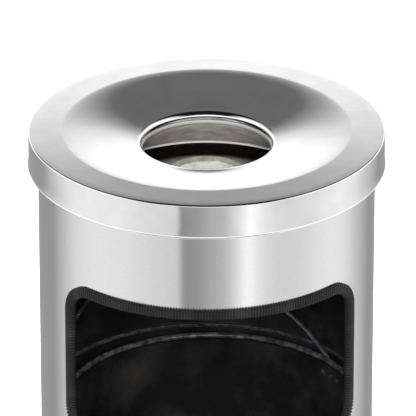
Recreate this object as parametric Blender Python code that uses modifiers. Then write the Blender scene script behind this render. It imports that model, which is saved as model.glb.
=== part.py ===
"""Free-standing ashtray bin: steel body with a window, lift-off funnel lid, ash pan and inner bin.

Metres, +Z up.  The origin is on the floor, on the body's axis; the window faces -Y.
"""
import math

import bmesh
import bpy
from mathutils import Matrix, Vector

MM = 0.001

# ---- overall sizes -------------------------------------------------------------------------
TOTAL_HEIGHT = 620 * MM
BODY_RADIUS = 122.5 * MM
LID_OVERHANG = 6.9 * MM
GAP = 0.3 * MM
FACET_SAG = 0.27 * MM
SMALL_STEPS = 10
HOLE_REACH = 12 * MM

# ---- body ----------------------------------------------------------------------------------
BODY_WALL = 0.8 * MM
WINDOW_TOP_DROP = 90.0 * MM
WINDOW_HEIGHT = 118.0 * MM
WINDOW_HALF_ANGLE = math.radians(55.5)
WINDOW_CORNER = 21.0 * MM
WINDOW_TURN = math.radians(2.0)
TRIM_COVER = 3.3 * MM
TRIM_NOSE = 3.5 * MM
TRIM_LEG = 1.5 * MM
HOOP_THICKNESS = 1.6 * MM
HOOP_HEIGHT = 3.0 * MM
HOOP_BELOW_WINDOW = 11.5 * MM
HOOP_SPLIT = 3.0 * MM

# ---- foot ----------------------------------------------------------------------------------
FOOT_THICKNESS = 3.0 * MM
FOOT_OUTER_LEG = 14.0 * MM
FOOT_INNER_LEG = 9.0 * MM
FOOT_WALL = 2.2 * MM
FOOT_CROWN = 0.8 * MM
BASE_SHEET = 1.0 * MM
BASE_RAISE = 23.0 * MM
BASE_FLANGE = 12.0 * MM
BASE_BEND = 2.0 * MM
BASE_RIVETS = 4
RIVET_RADIUS = 2.0 * MM
RIVET_HEAD = 3.6 * MM
RIVET_DOME = 1.1 * MM

# ---- lid -----------------------------------------------------------------------------------
LID_SHEET = 0.8 * MM
LID_SKIRT = 27.3 * MM
LID_EDGE_ROUND = 1.5 * MM
LID_HEM_RISE = 2.0 * MM
LID_HEM_FLARE = 0.6 * MM
LID_RING_WIDTH = 21.0 * MM
LID_RING_RISE = 0.9 * MM
FUNNEL_DEPTH = 9.0 * MM
HOLE_RADIUS = 47.4 * MM
LIP_ROUND = 4.0 * MM
LIP_LENGTH = 1.6 * MM

# ---- flame damper --------------------------------------------------------------------------
DAMPER_SHEET = 0.8 * MM
DAMPER_COLLAR = 2.0 * MM
DAMPER_SPREAD = 38.6 * MM
DAMPER_DEPTH = 49.0 * MM
DAMPER_BEAD = 1.6 * MM
BRACKETS = 3
BRACKET_WIDTH = 14.0 * MM
BRACKET_SHEET = 1.2 * MM
BRACKET_FOOT = 10.0 * MM
BRACKET_REACH = 22.6 * MM

# ---- ash pan -------------------------------------------------------------------------------
PAN_SHEET = 0.8 * MM
PAN_SKIRT = 12.0 * MM
PAN_DEPTH = 64.0 * MM
PAN_WALL_DRAFT = 9.0 * MM
PAN_PLAY = 1.6 * MM
PAN_BEND = 1.5 * MM
PAN_CONE_DROP = 58.0 * MM
PAN_RING_RADIUS = 30.0 * MM
PAN_RING_DROP = 36.0 * MM
PAN_DISC_RADIUS = 26.5 * MM
PAN_DISC_DROP = 38.5 * MM
PAN_DISC_STEP = 1.5 * MM
PAN_RING_EASE = 0.5 * MM
PAN_RING_SHOULDER = 2.5 * MM
PAN_HEEL_RUN = 6.0 * MM
PAN_HEEL_RISE = 5.0 * MM

# ---- inner bin -----------------------------------------------------------------------------
BIN_SHEET = 0.8 * MM
BIN_CLEARANCE = 13.1 * MM
BIN_TAPER = 3.6 * MM
BIN_STRAIGHT = 32.0 * MM
BIN_RIM_WIRE = 2.2 * MM
BIN_RIM_BELOW_WINDOW = 14.5 * MM
BIN_OFFSET = 4.0 * MM
BIN_BASE_RAISE = 6.0 * MM
BIN_BASE_FLANGE = 5.0 * MM
BIN_BASE_BEND = 1.0 * MM
BAIL_WIRE = 1.75 * MM
BAIL_PLAY = 0.65 * MM
EAR_BELOW_RIM = 1.3 * MM
BAIL_HEADING = math.radians(34.2)
BAIL_LEAN = math.radians(53.0)
BAIL_RISE = 1.1175
BAIL_CORNER = 3.0 * MM
BAIL_PIN_INSIDE = 2.5 * MM
BAIL_SPRING = 3.0
EAR_LENGTH = 28.0 * MM
EAR_HEIGHT = 13.0 * MM
EAR_SHEET = 1.2 * MM
EAR_RIVET_SPREAD = 9.0 * MM
EAR_RIVET_RADIUS = 1.5 * MM
EAR_RIVET_HEAD = 2.6 * MM
EAR_RIVET_DOME = 0.8 * MM

# ---- places worked out from the sizes --------------------------------------------------------
ROUND_STEPS = 8 * math.ceil(math.pi / math.acos(1 - FACET_SAG / BODY_RADIUS) / 8)
PAN_TOP = TOTAL_HEIGHT - LID_RING_RISE - LID_SHEET - GAP
BODY_TOP = PAN_TOP - PAN_SHEET - GAP
LID_RADIUS = BODY_RADIUS + LID_OVERHANG
BODY_BOTTOM = FOOT_THICKNESS + GAP
BODY_INNER = BODY_RADIUS - BODY_WALL
WINDOW_TOP = TOTAL_HEIGHT - WINDOW_TOP_DROP
WINDOW_BOTTOM = WINDOW_TOP - WINDOW_HEIGHT
WINDOW_HEADING = -math.pi / 2 + WINDOW_TURN
HOOP_Z = WINDOW_BOTTOM - HOOP_BELOW_WINDOW
BIN_RADIUS = BODY_INNER - BIN_CLEARANCE
RIM_Z = WINDOW_BOTTOM - BIN_RIM_BELOW_WINDOW
RIM_RADIUS = BIN_RADIUS + BIN_SHEET
BIN_FLOOR = BASE_RAISE + GAP
BIN_TOP = RIM_Z - BIN_RIM_WIRE - GAP
PIVOT_Z = RIM_Z - BIN_RIM_WIRE - EAR_BELOW_RIM - EAR_HEIGHT / 2
BAIL_RADIUS = RIM_RADIUS + BIN_RIM_WIRE + BAIL_PLAY + BAIL_WIRE
LID_EDGE = LID_RADIUS - LID_EDGE_ROUND
CREASE_RADIUS = LID_EDGE - LID_RING_WIDTH
LIP_RADIUS = HOLE_RADIUS + LIP_ROUND
LIP_END = TOTAL_HEIGHT - FUNNEL_DEPTH - LIP_ROUND - LIP_LENGTH
DAMPER_TOP = LIP_END - GAP
DAMPER_RADIUS = HOLE_RADIUS + DAMPER_SPREAD
BRACKET_RADIUS = HOLE_RADIUS + BRACKET_REACH
DAMPER_RIM_Z = TOTAL_HEIGHT - DAMPER_DEPTH
PAN_SKIRT_RADIUS = LID_RADIUS - LID_SHEET - 2 * GAP


# ---- scene and materials ---------------------------------------------------------------------
def clear_scene():
    """Remove every object, so the script gives the same result each time."""
    for old in list(bpy.data.objects):
        bpy.data.objects.remove(old, do_unlink=True)


def new_collection(name):
    made = bpy.data.collections.new(name)
    bpy.context.scene.collection.children.link(made)
    return made


def material(name, colour, metallic, roughness):
    made = bpy.data.materials.new(name)
    made.use_nodes = True
    shader = made.node_tree.nodes["Principled BSDF"]
    shader.inputs["Base Color"].default_value = (*colour, 1.0)
    shader.inputs["Metallic"].default_value = metallic
    shader.inputs["Roughness"].default_value = roughness
    return made


clear_scene()
PARTS = new_collection("ashtray_bin")
CUTTERS = new_collection("cutters")
FRAME = {}
STAINLESS = ("satin_stainless", (0.62, 0.61, 0.60), 1.0, 0.28)
POLISHED = ("polished_stainless", (0.72, 0.72, 0.71), 1.0, 0.14)
WORN_STEEL = ("worn_steel", (0.30, 0.28, 0.26), 0.9, 0.45)
BLACK_SHEET = ("black_lacquered_sheet", (0.012, 0.012, 0.012), 0.0, 0.16)
BLACK_WIRE = ("black_wire", (0.03, 0.03, 0.03), 0.4, 0.3)
RUBBER = ("black_rubber", (0.03, 0.03, 0.03), 0.0, 0.6)
RIVET_STEEL = ("rivet_steel", (0.5, 0.5, 0.5), 1.0, 0.3)


def finish(piece, look, parent):
    """Give a part its own material, its collection, its shading and its parent."""
    piece.data.materials.clear()
    piece.data.materials.append(material(f"{look[0]}_{piece.name}", *look[1:]))
    piece.data.shade_smooth()
    piece.data.set_sharp_from_angle(angle=math.radians(35))
    place_under(piece, parent)
    return piece


def place_under(piece, parent):
    if parent:
        piece.parent = FRAME[parent]
        piece.matrix_parent_inverse = Matrix.Translation(FRAME[parent].location).inverted()


def empty(name, location):
    """A guide at a moving body's reference point; pieces that move together hang under it."""
    made = bpy.data.objects.new(name, None)
    made.location = location
    PARTS.objects.link(made)
    FRAME[name] = made


# ---- modelling helpers -----------------------------------------------------------------------
def new_object(name, mesh, group=PARTS):
    made = bpy.data.objects.new(name, mesh)
    group.objects.link(made)
    return made


def arc(centre, radius, start, end, steps):
    """Points on an arc in the radius-height plane, angles in degrees."""
    turns = [math.radians(start + (end - start) * i / steps) for i in range(steps + 1)]
    return [(centre[0] + radius * math.cos(t), centre[1] + radius * math.sin(t)) for t in turns]


def turned(name, outline, closed=True, steps=ROUND_STEPS, group=PARTS):
    """Turn an outline of (radius, height) points round Z with a Screw modifier."""
    mesh = bpy.data.meshes.new(name)
    links = [(i, i + 1) for i in range(len(outline) - 1)]
    if closed:
        links.append((len(outline) - 1, 0))
    mesh.from_pydata([(r, 0.0, z) for r, z in outline], links, [])
    made = new_object(name, mesh, group)
    screw = made.modifiers.new("turn", "SCREW")
    screw.steps = steps
    screw.render_steps = steps
    screw.use_merge_vertices = True
    screw.merge_threshold = 0.00001
    return made


def shell(name, outline, sheet, steps=ROUND_STEPS):
    """A turned sheet: the outline is the outer face, and the wall grows inwards from it."""
    made = turned(name, outline, closed=False, steps=steps)
    wall = made.modifiers.new("sheet", "SOLIDIFY")
    wall.thickness = sheet
    wall.offset = -1.0
    wall.use_even_offset = True
    return made


def baked(piece):
    """Replace a piece's mesh with its evaluated one, in place, with normals facing out."""
    graph = bpy.context.evaluated_depsgraph_get()
    mesh = bpy.data.meshes.new_from_object(piece.evaluated_get(graph))
    piece.modifiers.clear()
    work = bmesh.new()
    work.from_mesh(mesh)
    bmesh.ops.remove_doubles(work, verts=work.verts, dist=0.000005)
    bmesh.ops.recalc_face_normals(work, faces=work.faces)
    work.to_mesh(mesh)
    work.free()
    piece.data = mesh
    return piece


def cylinder(name, radius, length, centre, direction, group=CUTTERS, steps=SMALL_STEPS):
    """A plain cylinder about a centre, along a direction."""
    work = bmesh.new()
    turn = Vector((0, 0, 1)).rotation_difference(Vector(direction)).to_matrix().to_4x4()
    bmesh.ops.create_cone(work, cap_ends=True, segments=steps, radius1=radius, radius2=radius,
                          depth=length, matrix=Matrix.Translation(centre) @ turn)
    mesh = bpy.data.meshes.new(name)
    work.to_mesh(mesh)
    work.free()
    return new_object(name, mesh, group)


def cut(piece, cutter):
    """Cut a hidden cutter out of a piece with the exact solver."""
    cutter.hide_render = True
    cutter.display_type = "WIRE"
    step = piece.modifiers.new(f"cut_{cutter.name}", "BOOLEAN")
    step.operation = "DIFFERENCE"
    step.solver = "EXACT"
    step.object = cutter


def rounded_rectangle(half_width, low, high, corner, corner_steps, spacing):
    """A closed outline, anticlockwise from the lower right corner, with its long sides divided."""
    middle = [(half_width - corner, low + corner, -90), (half_width - corner, high - corner, 0),
              (-half_width + corner, high - corner, 90), (-half_width + corner, low + corner, 180)]
    outline = []
    for x, z, start in middle:
        outline += arc((x, z), corner, start, start + 90, corner_steps)
    result = []
    for here, after in zip(outline, outline[1:] + outline[:1]):
        pieces = max(1, round(math.dist(here, after) / spacing))
        result += [(here[0] + (after[0] - here[0]) * i / pieces,
                    here[1] + (after[1] - here[1]) * i / pieces) for i in range(pieces)]
    return result


def wrap(mesh, radius, heading):
    """Bend a flat mesh, drawn in X and Z with its thickness in -Y, on to a cylinder."""
    for vert in mesh.vertices:
        along, out, height = vert.co.x, -vert.co.y, vert.co.z
        angle = heading + along / radius
        vert.co = ((radius + out) * math.cos(angle), (radius + out) * math.sin(angle), height)


def rivet(name, place, outward, grip, radius, head, dome, parent):
    """A domed rivet through a stack of sheets: the head is outside and the tail inside."""
    play = 0.5 * GAP
    outline = arc((0, 0), 1.0, 90, 0, 2)
    outline = [(head * c, play + dome * s) for c, s in outline]
    tail = -grip - GAP - play
    outline += [(radius, play), (radius, tail), (head * 0.8, tail), (head * 0.65, tail - dome), (0, tail - dome)]
    made = turned(name, outline, closed=False, steps=SMALL_STEPS)
    made.rotation_mode = "QUATERNION"
    made.rotation_quaternion = Vector((0, 0, 1)).rotation_difference(Vector(outward))
    made.location = place
    return finish(made, RIVET_STEEL, parent)


# ---- body ------------------------------------------------------------------------------------
def window_outline(inset, corner_steps, spacing):
    """The window's edge, unrolled: distance round the body and height."""
    half = WINDOW_HALF_ANGLE * BODY_RADIUS - inset
    corner = WINDOW_CORNER - inset
    return rounded_rectangle(half, WINDOW_BOTTOM + inset, WINDOW_TOP - inset, corner, corner_steps, spacing)


def window_cutter():
    """A radial wedge: its end faces stay well clear of the wall even where they sag."""
    outline = window_outline(0.0, 6, BODY_RADIUS * math.tau / ROUND_STEPS)
    reaches = [share * BODY_RADIUS for share in (0.2, 0.97, 1.03, 2.1)]
    work = bmesh.new()
    rings = []
    for reach in reaches:
        ring = []
        for along, height in outline:
            angle = WINDOW_HEADING + along / BODY_RADIUS
            ring.append(work.verts.new((reach * math.cos(angle), reach * math.sin(angle), height)))
        rings.append(ring)
    count = len(outline)
    for ring, following in zip(rings, rings[1:]):
        for i in range(count):
            j = (i + 1) % count
            work.faces.new((ring[i], ring[j], following[j], following[i]))
    work.faces.new(rings[0])
    work.faces.new(rings[-1])
    bmesh.ops.recalc_face_normals(work, faces=work.faces)
    mesh = bpy.data.meshes.new("window_cutter")
    work.to_mesh(mesh)
    work.free()
    return new_object("window_cutter", mesh, CUTTERS)


def body_shell():
    outline = [(BODY_RADIUS, BODY_TOP), (BODY_RADIUS, BODY_BOTTOM),
               (BODY_INNER, BODY_BOTTOM), (BODY_INNER, BODY_TOP)]
    made = turned("body_shell", outline)
    cut(made, window_cutter())
    for number, (place, outward) in enumerate(base_rivet_places(), 1):
        cut(made, cylinder(f"body_hole_{number}", RIVET_RADIUS + 0.5 * GAP, HOLE_REACH, place, outward))
    return finish(made, STAINLESS, None)


def window_trim():
    """Edge strip with a U section, pushed over the sheet all round the window."""
    inner = BODY_WALL + GAP
    section = [(-TRIM_COVER, GAP), (-TRIM_COVER, GAP + TRIM_LEG), (TRIM_NOSE * 0.6, GAP + TRIM_LEG),
               (TRIM_NOSE, GAP), (TRIM_NOSE, -inner), (TRIM_NOSE * 0.6, -inner - TRIM_LEG),
               (-TRIM_COVER, -inner - TRIM_LEG), (-TRIM_COVER, -inner), (GAP, -inner), (GAP, GAP)]
    work = bmesh.new()
    rings = []
    for into_opening, out in section:
        ring = [work.verts.new((along, -out, height))
                for along, height in window_outline(into_opening, 6, 10 * MM)]
        rings.append(ring)
    for ring, following in zip(rings, rings[1:] + rings[:1]):
        count = len(ring)
        for i in range(count):
            j = (i + 1) % count
            work.faces.new((ring[i], ring[j], following[j], following[i]))
    mesh = bpy.data.meshes.new("window_trim")
    work.to_mesh(mesh)
    work.free()
    wrap(mesh, BODY_RADIUS, WINDOW_HEADING)
    made = baked(new_object("window_trim", mesh))
    return finish(made, RUBBER, None)


def guide_hoop():
    """Flat hoop inside the wall below the window, split at the body's back seam."""
    outer = BODY_INNER - GAP
    low, high = HOOP_Z - HOOP_HEIGHT / 2, HOOP_Z + HOOP_HEIGHT / 2
    outline = [(outer, high), (outer, low), (outer - HOOP_THICKNESS * 0.6, low),
               (outer - HOOP_THICKNESS, HOOP_Z), (outer - HOOP_THICKNESS * 0.6, high)]
    made = turned("guide_hoop", outline)
    seam = WINDOW_HEADING + math.pi
    place = (outer * math.cos(seam), outer * math.sin(seam), HOOP_Z)
    splitter = cylinder("hoop_split", HOOP_SPLIT / 2, HOLE_REACH, place, (math.cos(seam), math.sin(seam), 0))
    cut(made, splitter)
    return finish(made, BLACK_SHEET, None)


def base_rivet_places():
    """Each rivet's place on the body's outer face and its outward direction."""
    height = BASE_RAISE - BASE_FLANGE * 0.45
    places = []
    for number in range(BASE_RIVETS):
        angle = math.tau * (number + 0.5) / BASE_RIVETS + WINDOW_TURN
        outward = (math.cos(angle), math.sin(angle), 0.0)
        places.append(((BODY_RADIUS * outward[0], BODY_RADIUS * outward[1], height), outward))
    return places


def base_plate():
    """Pressed floor plate with a turned-down flange inside the body."""
    outer = BODY_INNER - GAP
    outline = [(0, BASE_RAISE), (outer - BASE_BEND, BASE_RAISE)]
    outline += arc((outer - BASE_BEND, BASE_RAISE - BASE_BEND), BASE_BEND, 90, 0, 3)[1:]
    outline += [(outer, BASE_RAISE - BASE_FLANGE)]
    made = shell("base_plate", outline, BASE_SHEET)
    for number, (place, outward) in enumerate(base_rivet_places(), 1):
        cut(made, cylinder(f"base_hole_{number}", RIVET_RADIUS + 0.5 * GAP, HOLE_REACH, place, outward))
    return finish(made, RIVET_STEEL, None)


def base_ring():
    """Floor-protection ring with a U section, pushed on the body's bottom edge."""
    outer, inner = BODY_RADIUS + GAP, BODY_INNER - GAP
    crown = FOOT_CROWN
    outline = [(outer, FOOT_OUTER_LEG), (outer + FOOT_WALL * 0.5, FOOT_OUTER_LEG),
               (outer + FOOT_WALL, FOOT_OUTER_LEG - crown), (outer + FOOT_WALL, crown),
               (outer + FOOT_WALL - crown, 0), (inner - FOOT_WALL, 0), (inner - FOOT_WALL, FOOT_INNER_LEG),
               (inner, FOOT_INNER_LEG), (inner, FOOT_THICKNESS), (outer, FOOT_THICKNESS)]
    return finish(turned("base_ring", outline), RUBBER, None)


def base_rivets():
    grip = BODY_WALL + GAP + BASE_SHEET
    for number, (place, outward) in enumerate(base_rivet_places(), 1):
        rivet(f"base_rivet_{number}", place, outward, grip, RIVET_RADIUS, RIVET_HEAD, RIVET_DOME, None)


# ---- lid and flame damper --------------------------------------------------------------------
def funnel_height(radius):
    """Height of the funnel's upper face between the crease and the hole's lip."""
    share = (CREASE_RADIUS - radius) / (CREASE_RADIUS - LIP_RADIUS)
    return TOTAL_HEIGHT - FUNNEL_DEPTH * share ** 1.5


def lid_cover():
    """Spun lid: short skirt, flat ring, shallow funnel and the hole's turned-down lip."""
    edge_top = TOTAL_HEIGHT - LID_RING_RISE
    outline = [(HOLE_RADIUS, LIP_END)]
    outline += arc((LIP_RADIUS, LIP_END + LIP_LENGTH), LIP_ROUND, 180, 105, 3)
    steps = 7
    run = [LIP_RADIUS + (CREASE_RADIUS - LIP_RADIUS) * i / steps for i in range(1, steps + 1)]
    outline += [(radius, funnel_height(radius)) for radius in run]
    outline += arc((LID_EDGE, edge_top - LID_EDGE_ROUND), LID_EDGE_ROUND, 90, 0, 3)
    low = TOTAL_HEIGHT - LID_SKIRT
    outline += [(LID_RADIUS, low + LID_HEM_RISE), (LID_RADIUS + LID_HEM_FLARE, low)]
    made = shell("lid_cover", outline, LID_SHEET)
    return finish(made, POLISHED, "lid")


def damper_point(radius):
    """Height of the damper cone's outer face at a radius."""
    top = DAMPER_TOP - DAMPER_COLLAR
    share = (radius - HOLE_RADIUS) / (DAMPER_RADIUS - HOLE_RADIUS)
    return top - share * (top - DAMPER_RIM_Z)


def damper_slope():
    """Unit vector down the cone's outer face, as (radius, height)."""
    run = Vector((DAMPER_RADIUS - HOLE_RADIUS, damper_point(DAMPER_RADIUS) - damper_point(HOLE_RADIUS)))
    return run.normalized()


def bracket_headings():
    return [-math.pi / 2 + math.tau * number / BRACKETS for number in range(BRACKETS)]


def damper_rivet_place(heading):
    """Rivet's place on the bracket's outer face, and the outward direction there."""
    down = damper_slope()
    outward = Vector((-down.y, down.x))
    radius = BRACKET_RADIUS + BRACKET_FOOT * 0.62 * down.x
    on_cone = Vector((radius, damper_point(radius)))
    place = on_cone + outward * (GAP + BRACKET_SHEET)
    return spun(place, heading), spun(outward, heading)


def spun(flat, heading):
    """A (radius, height) pair as a point or direction at a heading."""
    return Vector((flat[0] * math.cos(heading), flat[0] * math.sin(heading), flat[1]))


def damper_cone():
    """Cone that widens downwards under the hole; its lower rim is rolled."""
    rim = arc((DAMPER_RADIUS, DAMPER_RIM_Z - DAMPER_BEAD), DAMPER_BEAD, 60, -120, 4)
    outline = [(HOLE_RADIUS, DAMPER_TOP), (HOLE_RADIUS, DAMPER_TOP - DAMPER_COLLAR)]
    made = shell("damper_cone", outline + rim, DAMPER_SHEET)
    for number, heading in enumerate(bracket_headings(), 1):
        place, outward = damper_rivet_place(heading)
        cut(made, cylinder(f"damper_hole_{number}", EAR_RIVET_RADIUS + 0.5 * GAP, HOLE_REACH, place, outward))
    return finish(made, WORN_STEEL, "lid")


def damper_brackets():
    """Bent strips spot-welded under the funnel and riveted to the cone."""
    down = damper_slope()
    outward = Vector((-down.y, down.x))
    for number, heading in enumerate(bracket_headings(), 1):
        lift = GAP / max(outward.y, 0.1)
        corner = Vector((BRACKET_RADIUS, damper_point(BRACKET_RADIUS) + lift))
        toe = corner + down * BRACKET_FOOT
        top_inner = Vector((BRACKET_RADIUS - BRACKET_FOOT, funnel_height(BRACKET_RADIUS - BRACKET_FOOT)))
        top_outer = Vector((BRACKET_RADIUS, funnel_height(BRACKET_RADIUS)))
        under = LID_SHEET + BRACKET_SHEET + 2 * GAP
        path = [top_inner - Vector((0, under)), top_outer - Vector((0, under)), corner, toe]
        mesh = bpy.data.meshes.new(f"damper_bracket_{number}")
        half = BRACKET_WIDTH / 2
        verts = [(point.x, side, point.y) for point in path for side in (-half, half)]
        faces = [(2 * i, 2 * i + 1, 2 * i + 3, 2 * i + 2) for i in range(len(path) - 1)]
        mesh.from_pydata(verts, [], faces)
        made = new_object(f"damper_bracket_{number}", mesh)
        wall = made.modifiers.new("sheet", "SOLIDIFY")
        wall.thickness = BRACKET_SHEET
        wall.offset = -1.0
        wall.use_even_offset = True
        baked(made)
        made.data.transform(Matrix.Rotation(heading, 4, "Z"))
        place, direction = damper_rivet_place(heading)
        cut(made, cylinder(f"bracket_hole_{number}", EAR_RIVET_RADIUS + 0.5 * GAP, HOLE_REACH, place, direction))
        finish(made, RIVET_STEEL, "lid")
        grip = BRACKET_SHEET + GAP + DAMPER_SHEET
        rivet(f"damper_rivet_{number}", place, direction, grip, EAR_RIVET_RADIUS, EAR_RIVET_HEAD,
              EAR_RIVET_DOME, "lid")


# ---- ash pan ---------------------------------------------------------------------------------
def ash_pan():
    """Pressed pan that hangs on the body's top edge, with a raised stub-out plateau."""
    tub = BODY_INNER - PAN_PLAY - PAN_SHEET
    bend = PAN_BEND
    outline = [(0, TOTAL_HEIGHT - PAN_DISC_DROP), (PAN_DISC_RADIUS, TOTAL_HEIGHT - PAN_DISC_DROP),
               (PAN_DISC_RADIUS + PAN_DISC_STEP, TOTAL_HEIGHT - PAN_RING_DROP - PAN_RING_EASE),
               (PAN_RING_RADIUS, TOTAL_HEIGHT - PAN_RING_DROP),
               (PAN_RING_RADIUS + PAN_RING_SHOULDER, TOTAL_HEIGHT - PAN_RING_DROP - PAN_DISC_STEP),
               (DAMPER_RADIUS, TOTAL_HEIGHT - PAN_CONE_DROP),
               (tub - PAN_WALL_DRAFT - PAN_HEEL_RUN, TOTAL_HEIGHT - PAN_DEPTH),
               (tub - PAN_WALL_DRAFT, TOTAL_HEIGHT - PAN_DEPTH + PAN_HEEL_RISE),
               (tub, PAN_TOP - bend), (tub + bend, PAN_TOP)]
    outline += arc((PAN_SKIRT_RADIUS - bend, PAN_TOP - bend), bend, 90, 0, 2)
    outline += [(PAN_SKIRT_RADIUS, PAN_TOP - PAN_SKIRT)]
    return finish(shell("ash_pan", outline, PAN_SHEET), WORN_STEEL, "ash_tray")


# ---- inner bin -------------------------------------------------------------------------------
def shifted(piece):
    """Move a piece that was made on the body's axis to the inner bin's axis."""
    piece.data.transform(Matrix.Translation((BIN_OFFSET, 0, 0)))
    return piece


def ear_headings():
    return [BAIL_HEADING, BAIL_HEADING + math.pi]


def bin_point(radius, heading, height):
    return Vector((BIN_OFFSET + radius * math.cos(heading), radius * math.sin(heading), height))


def ear_cutters(tag, radius_pin, radius_rivet):
    """Holes for the bail's end and the two rivets at each ear."""
    made = []
    for side, heading in enumerate(ear_headings(), 1):
        spread = EAR_RIVET_SPREAD / BIN_RADIUS
        for index, offset in enumerate((-spread, 0.0, spread)):
            angle = heading + offset
            size = radius_pin if index == 1 else radius_rivet
            outward = (math.cos(angle), math.sin(angle), 0)
            name = f"{tag}_{side}_{index}"
            made.append((side, cylinder(name, size, HOLE_REACH, bin_point(BIN_RADIUS, angle, PIVOT_Z), outward)))
    return made


def inner_bin_shell():
    low = BIN_RADIUS - BIN_TAPER
    bend = BIN_TOP - BIN_STRAIGHT
    outline = [(BIN_RADIUS, BIN_TOP), (BIN_RADIUS, bend), (low, BIN_FLOOR),
               (low - BIN_SHEET, BIN_FLOOR), (BIN_RADIUS - BIN_SHEET, bend), (BIN_RADIUS - BIN_SHEET, BIN_TOP)]
    made = shifted(baked(turned("inner_bin_shell", outline)))
    for side, cutter in ear_cutters("bin_hole", BAIL_WIRE + GAP, EAR_RIVET_RADIUS + 0.5 * GAP):
        cut(made, cutter)
    return finish(made, BLACK_SHEET, "inner_bin")


def inner_bin_base():
    """Bottom disc with a turned-down flange inside the shell's lower edge."""
    draft = BIN_TAPER * (BIN_BASE_RAISE / (BIN_TOP - BIN_STRAIGHT - BIN_FLOOR))
    outer = BIN_RADIUS - BIN_TAPER - BIN_SHEET - GAP
    top = BIN_FLOOR + BIN_BASE_RAISE
    outline = [(0, top), (outer - BIN_BASE_BEND, top), (outer, top - BIN_BASE_BEND), (outer - draft, top - BIN_BASE_FLANGE)]
    made = shifted(baked(shell("inner_bin_base", outline, BIN_SHEET)))
    return finish(made, BLACK_SHEET, "inner_bin")


def inner_bin_rim():
    """Rolled rim round the inner bin's mouth."""
    outline = arc((RIM_RADIUS, RIM_Z), BIN_RIM_WIRE, 90, -270, 8)[:-1]
    made = shifted(baked(turned("inner_bin_rim", outline)))
    return finish(made, BLACK_SHEET, "inner_bin")


def bail_ears():
    """Curved plates that hold the bail's ends against the bin's wall."""
    holes = ear_cutters("ear_hole", BAIL_WIRE + GAP, EAR_RIVET_RADIUS + 0.5 * GAP)
    inside = BIN_RADIUS + GAP
    for side, (label, heading) in enumerate(zip(("right", "left"), ear_headings()), 1):
        outline = rounded_rectangle(EAR_LENGTH / 2, -EAR_HEIGHT / 2, EAR_HEIGHT / 2, EAR_HEIGHT * 0.3, 3, 4 * MM)
        work = bmesh.new()
        rows = [[work.verts.new((x, -out, z)) for x, z in outline] for out in (0.0, EAR_SHEET)]
        count = len(outline)
        for i in range(count):
            j = (i + 1) % count
            work.faces.new((rows[0][i], rows[0][j], rows[1][j], rows[1][i]))
        for row in rows:
            face = work.faces.new(row)
            bmesh.ops.triangulate(work, faces=[face])
        mesh = bpy.data.meshes.new(f"bail_ear_{label}")
        work.to_mesh(mesh)
        work.free()
        wrap(mesh, inside, heading)
        made = new_object(f"bail_ear_{label}", mesh)
        baked(made)
        made.data.transform(Matrix.Translation((BIN_OFFSET, 0, PIVOT_Z)))
        for number, cutter in holes:
            if number == side:
                cut(made, cutter)
        finish(made, BLACK_WIRE, "inner_bin")


def ear_rivets():
    grip = EAR_SHEET + GAP + BIN_SHEET
    spread = EAR_RIVET_SPREAD / BIN_RADIUS
    for label, heading in zip(("right", "left"), ear_headings()):
        for number, offset in enumerate((-spread, spread), 1):
            angle = heading + offset
            place = bin_point(BIN_RADIUS + GAP + EAR_SHEET, angle, PIVOT_Z)
            outward = (math.cos(angle), math.sin(angle), 0)
            rivet(f"ear_rivet_{label}_{number}", place, outward, grip, EAR_RIVET_RADIUS, EAR_RIVET_HEAD,
                  EAR_RIVET_DOME, "inner_bin")


def bail_handle():
    """Wire bail: a bow a little taller than a half circle, whose ends turn in through the ears and the bin's wall."""
    along = Vector((math.cos(BAIL_HEADING), math.sin(BAIL_HEADING), 0))
    back = Vector((-along.y, along.x, 0))
    up = back * math.sin(BAIL_LEAN) + Vector((0, 0, 1)) * math.cos(BAIL_LEAN)
    centre = Vector((BIN_OFFSET, 0, PIVOT_Z))
    pin_end = BIN_RADIUS - BIN_SHEET - BAIL_PIN_INSIDE
    corner = arc((BAIL_RADIUS - BAIL_CORNER, BAIL_CORNER), BAIL_CORNER, -90, 0, 3)
    side = [(pin_end, 0.0)] + corner
    first = math.degrees(math.asin(BAIL_CORNER / BAIL_RADIUS)) + BAIL_SPRING
    bow = [(x, y * BAIL_RISE) for x, y in arc((0, 0), BAIL_RADIUS, first, 180 - first, 30)]
    flat = side + bow + [(-x, y) for x, y in reversed(side)]
    data = bpy.data.curves.new("bail_handle", "CURVE")
    data.dimensions = "3D"
    data.bevel_depth = BAIL_WIRE
    data.bevel_resolution = 2
    data.use_fill_caps = True
    line = data.splines.new("POLY")
    line.points.add(len(flat) - 1)
    for point, (x, y) in zip(line.points, flat):
        point.co = (*(along * x + up * y), 1.0)
    wire = new_object("bail_wire_guide", data)
    graph = bpy.context.evaluated_depsgraph_get()
    mesh = bpy.data.meshes.new_from_object(wire.evaluated_get(graph))
    bpy.data.objects.remove(wire, do_unlink=True)
    made = new_object("bail_handle", mesh)
    baked(made)
    made.location = centre
    return finish(made, BLACK_WIRE, "bail")


# ---- assembly --------------------------------------------------------------------------------
def build():
    empty("lid", (0, 0, TOTAL_HEIGHT))
    empty("ash_tray", (0, 0, PAN_TOP))
    empty("inner_bin", (BIN_OFFSET, 0, BIN_FLOOR))
    empty("bail", (BIN_OFFSET, 0, PIVOT_Z))
    body_shell()
    window_trim()
    guide_hoop()
    base_plate()
    base_ring()
    base_rivets()
    lid_cover()
    damper_cone()
    damper_brackets()
    ash_pan()
    inner_bin_shell()
    inner_bin_base()
    inner_bin_rim()
    bail_ears()
    ear_rivets()
    bail_handle()


build()
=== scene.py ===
"""Free-standing stainless ashtray bin, dressed for a studio picture.

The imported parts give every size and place.  Each sub-assembly below models its own finer
pieces round them, and each finish describes one real material.
"""

from __future__ import annotations

import logging
import math
from collections.abc import Callable, Iterable, Iterator, Sequence
from contextlib import contextmanager
from dataclasses import dataclass
from enum import Enum

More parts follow.
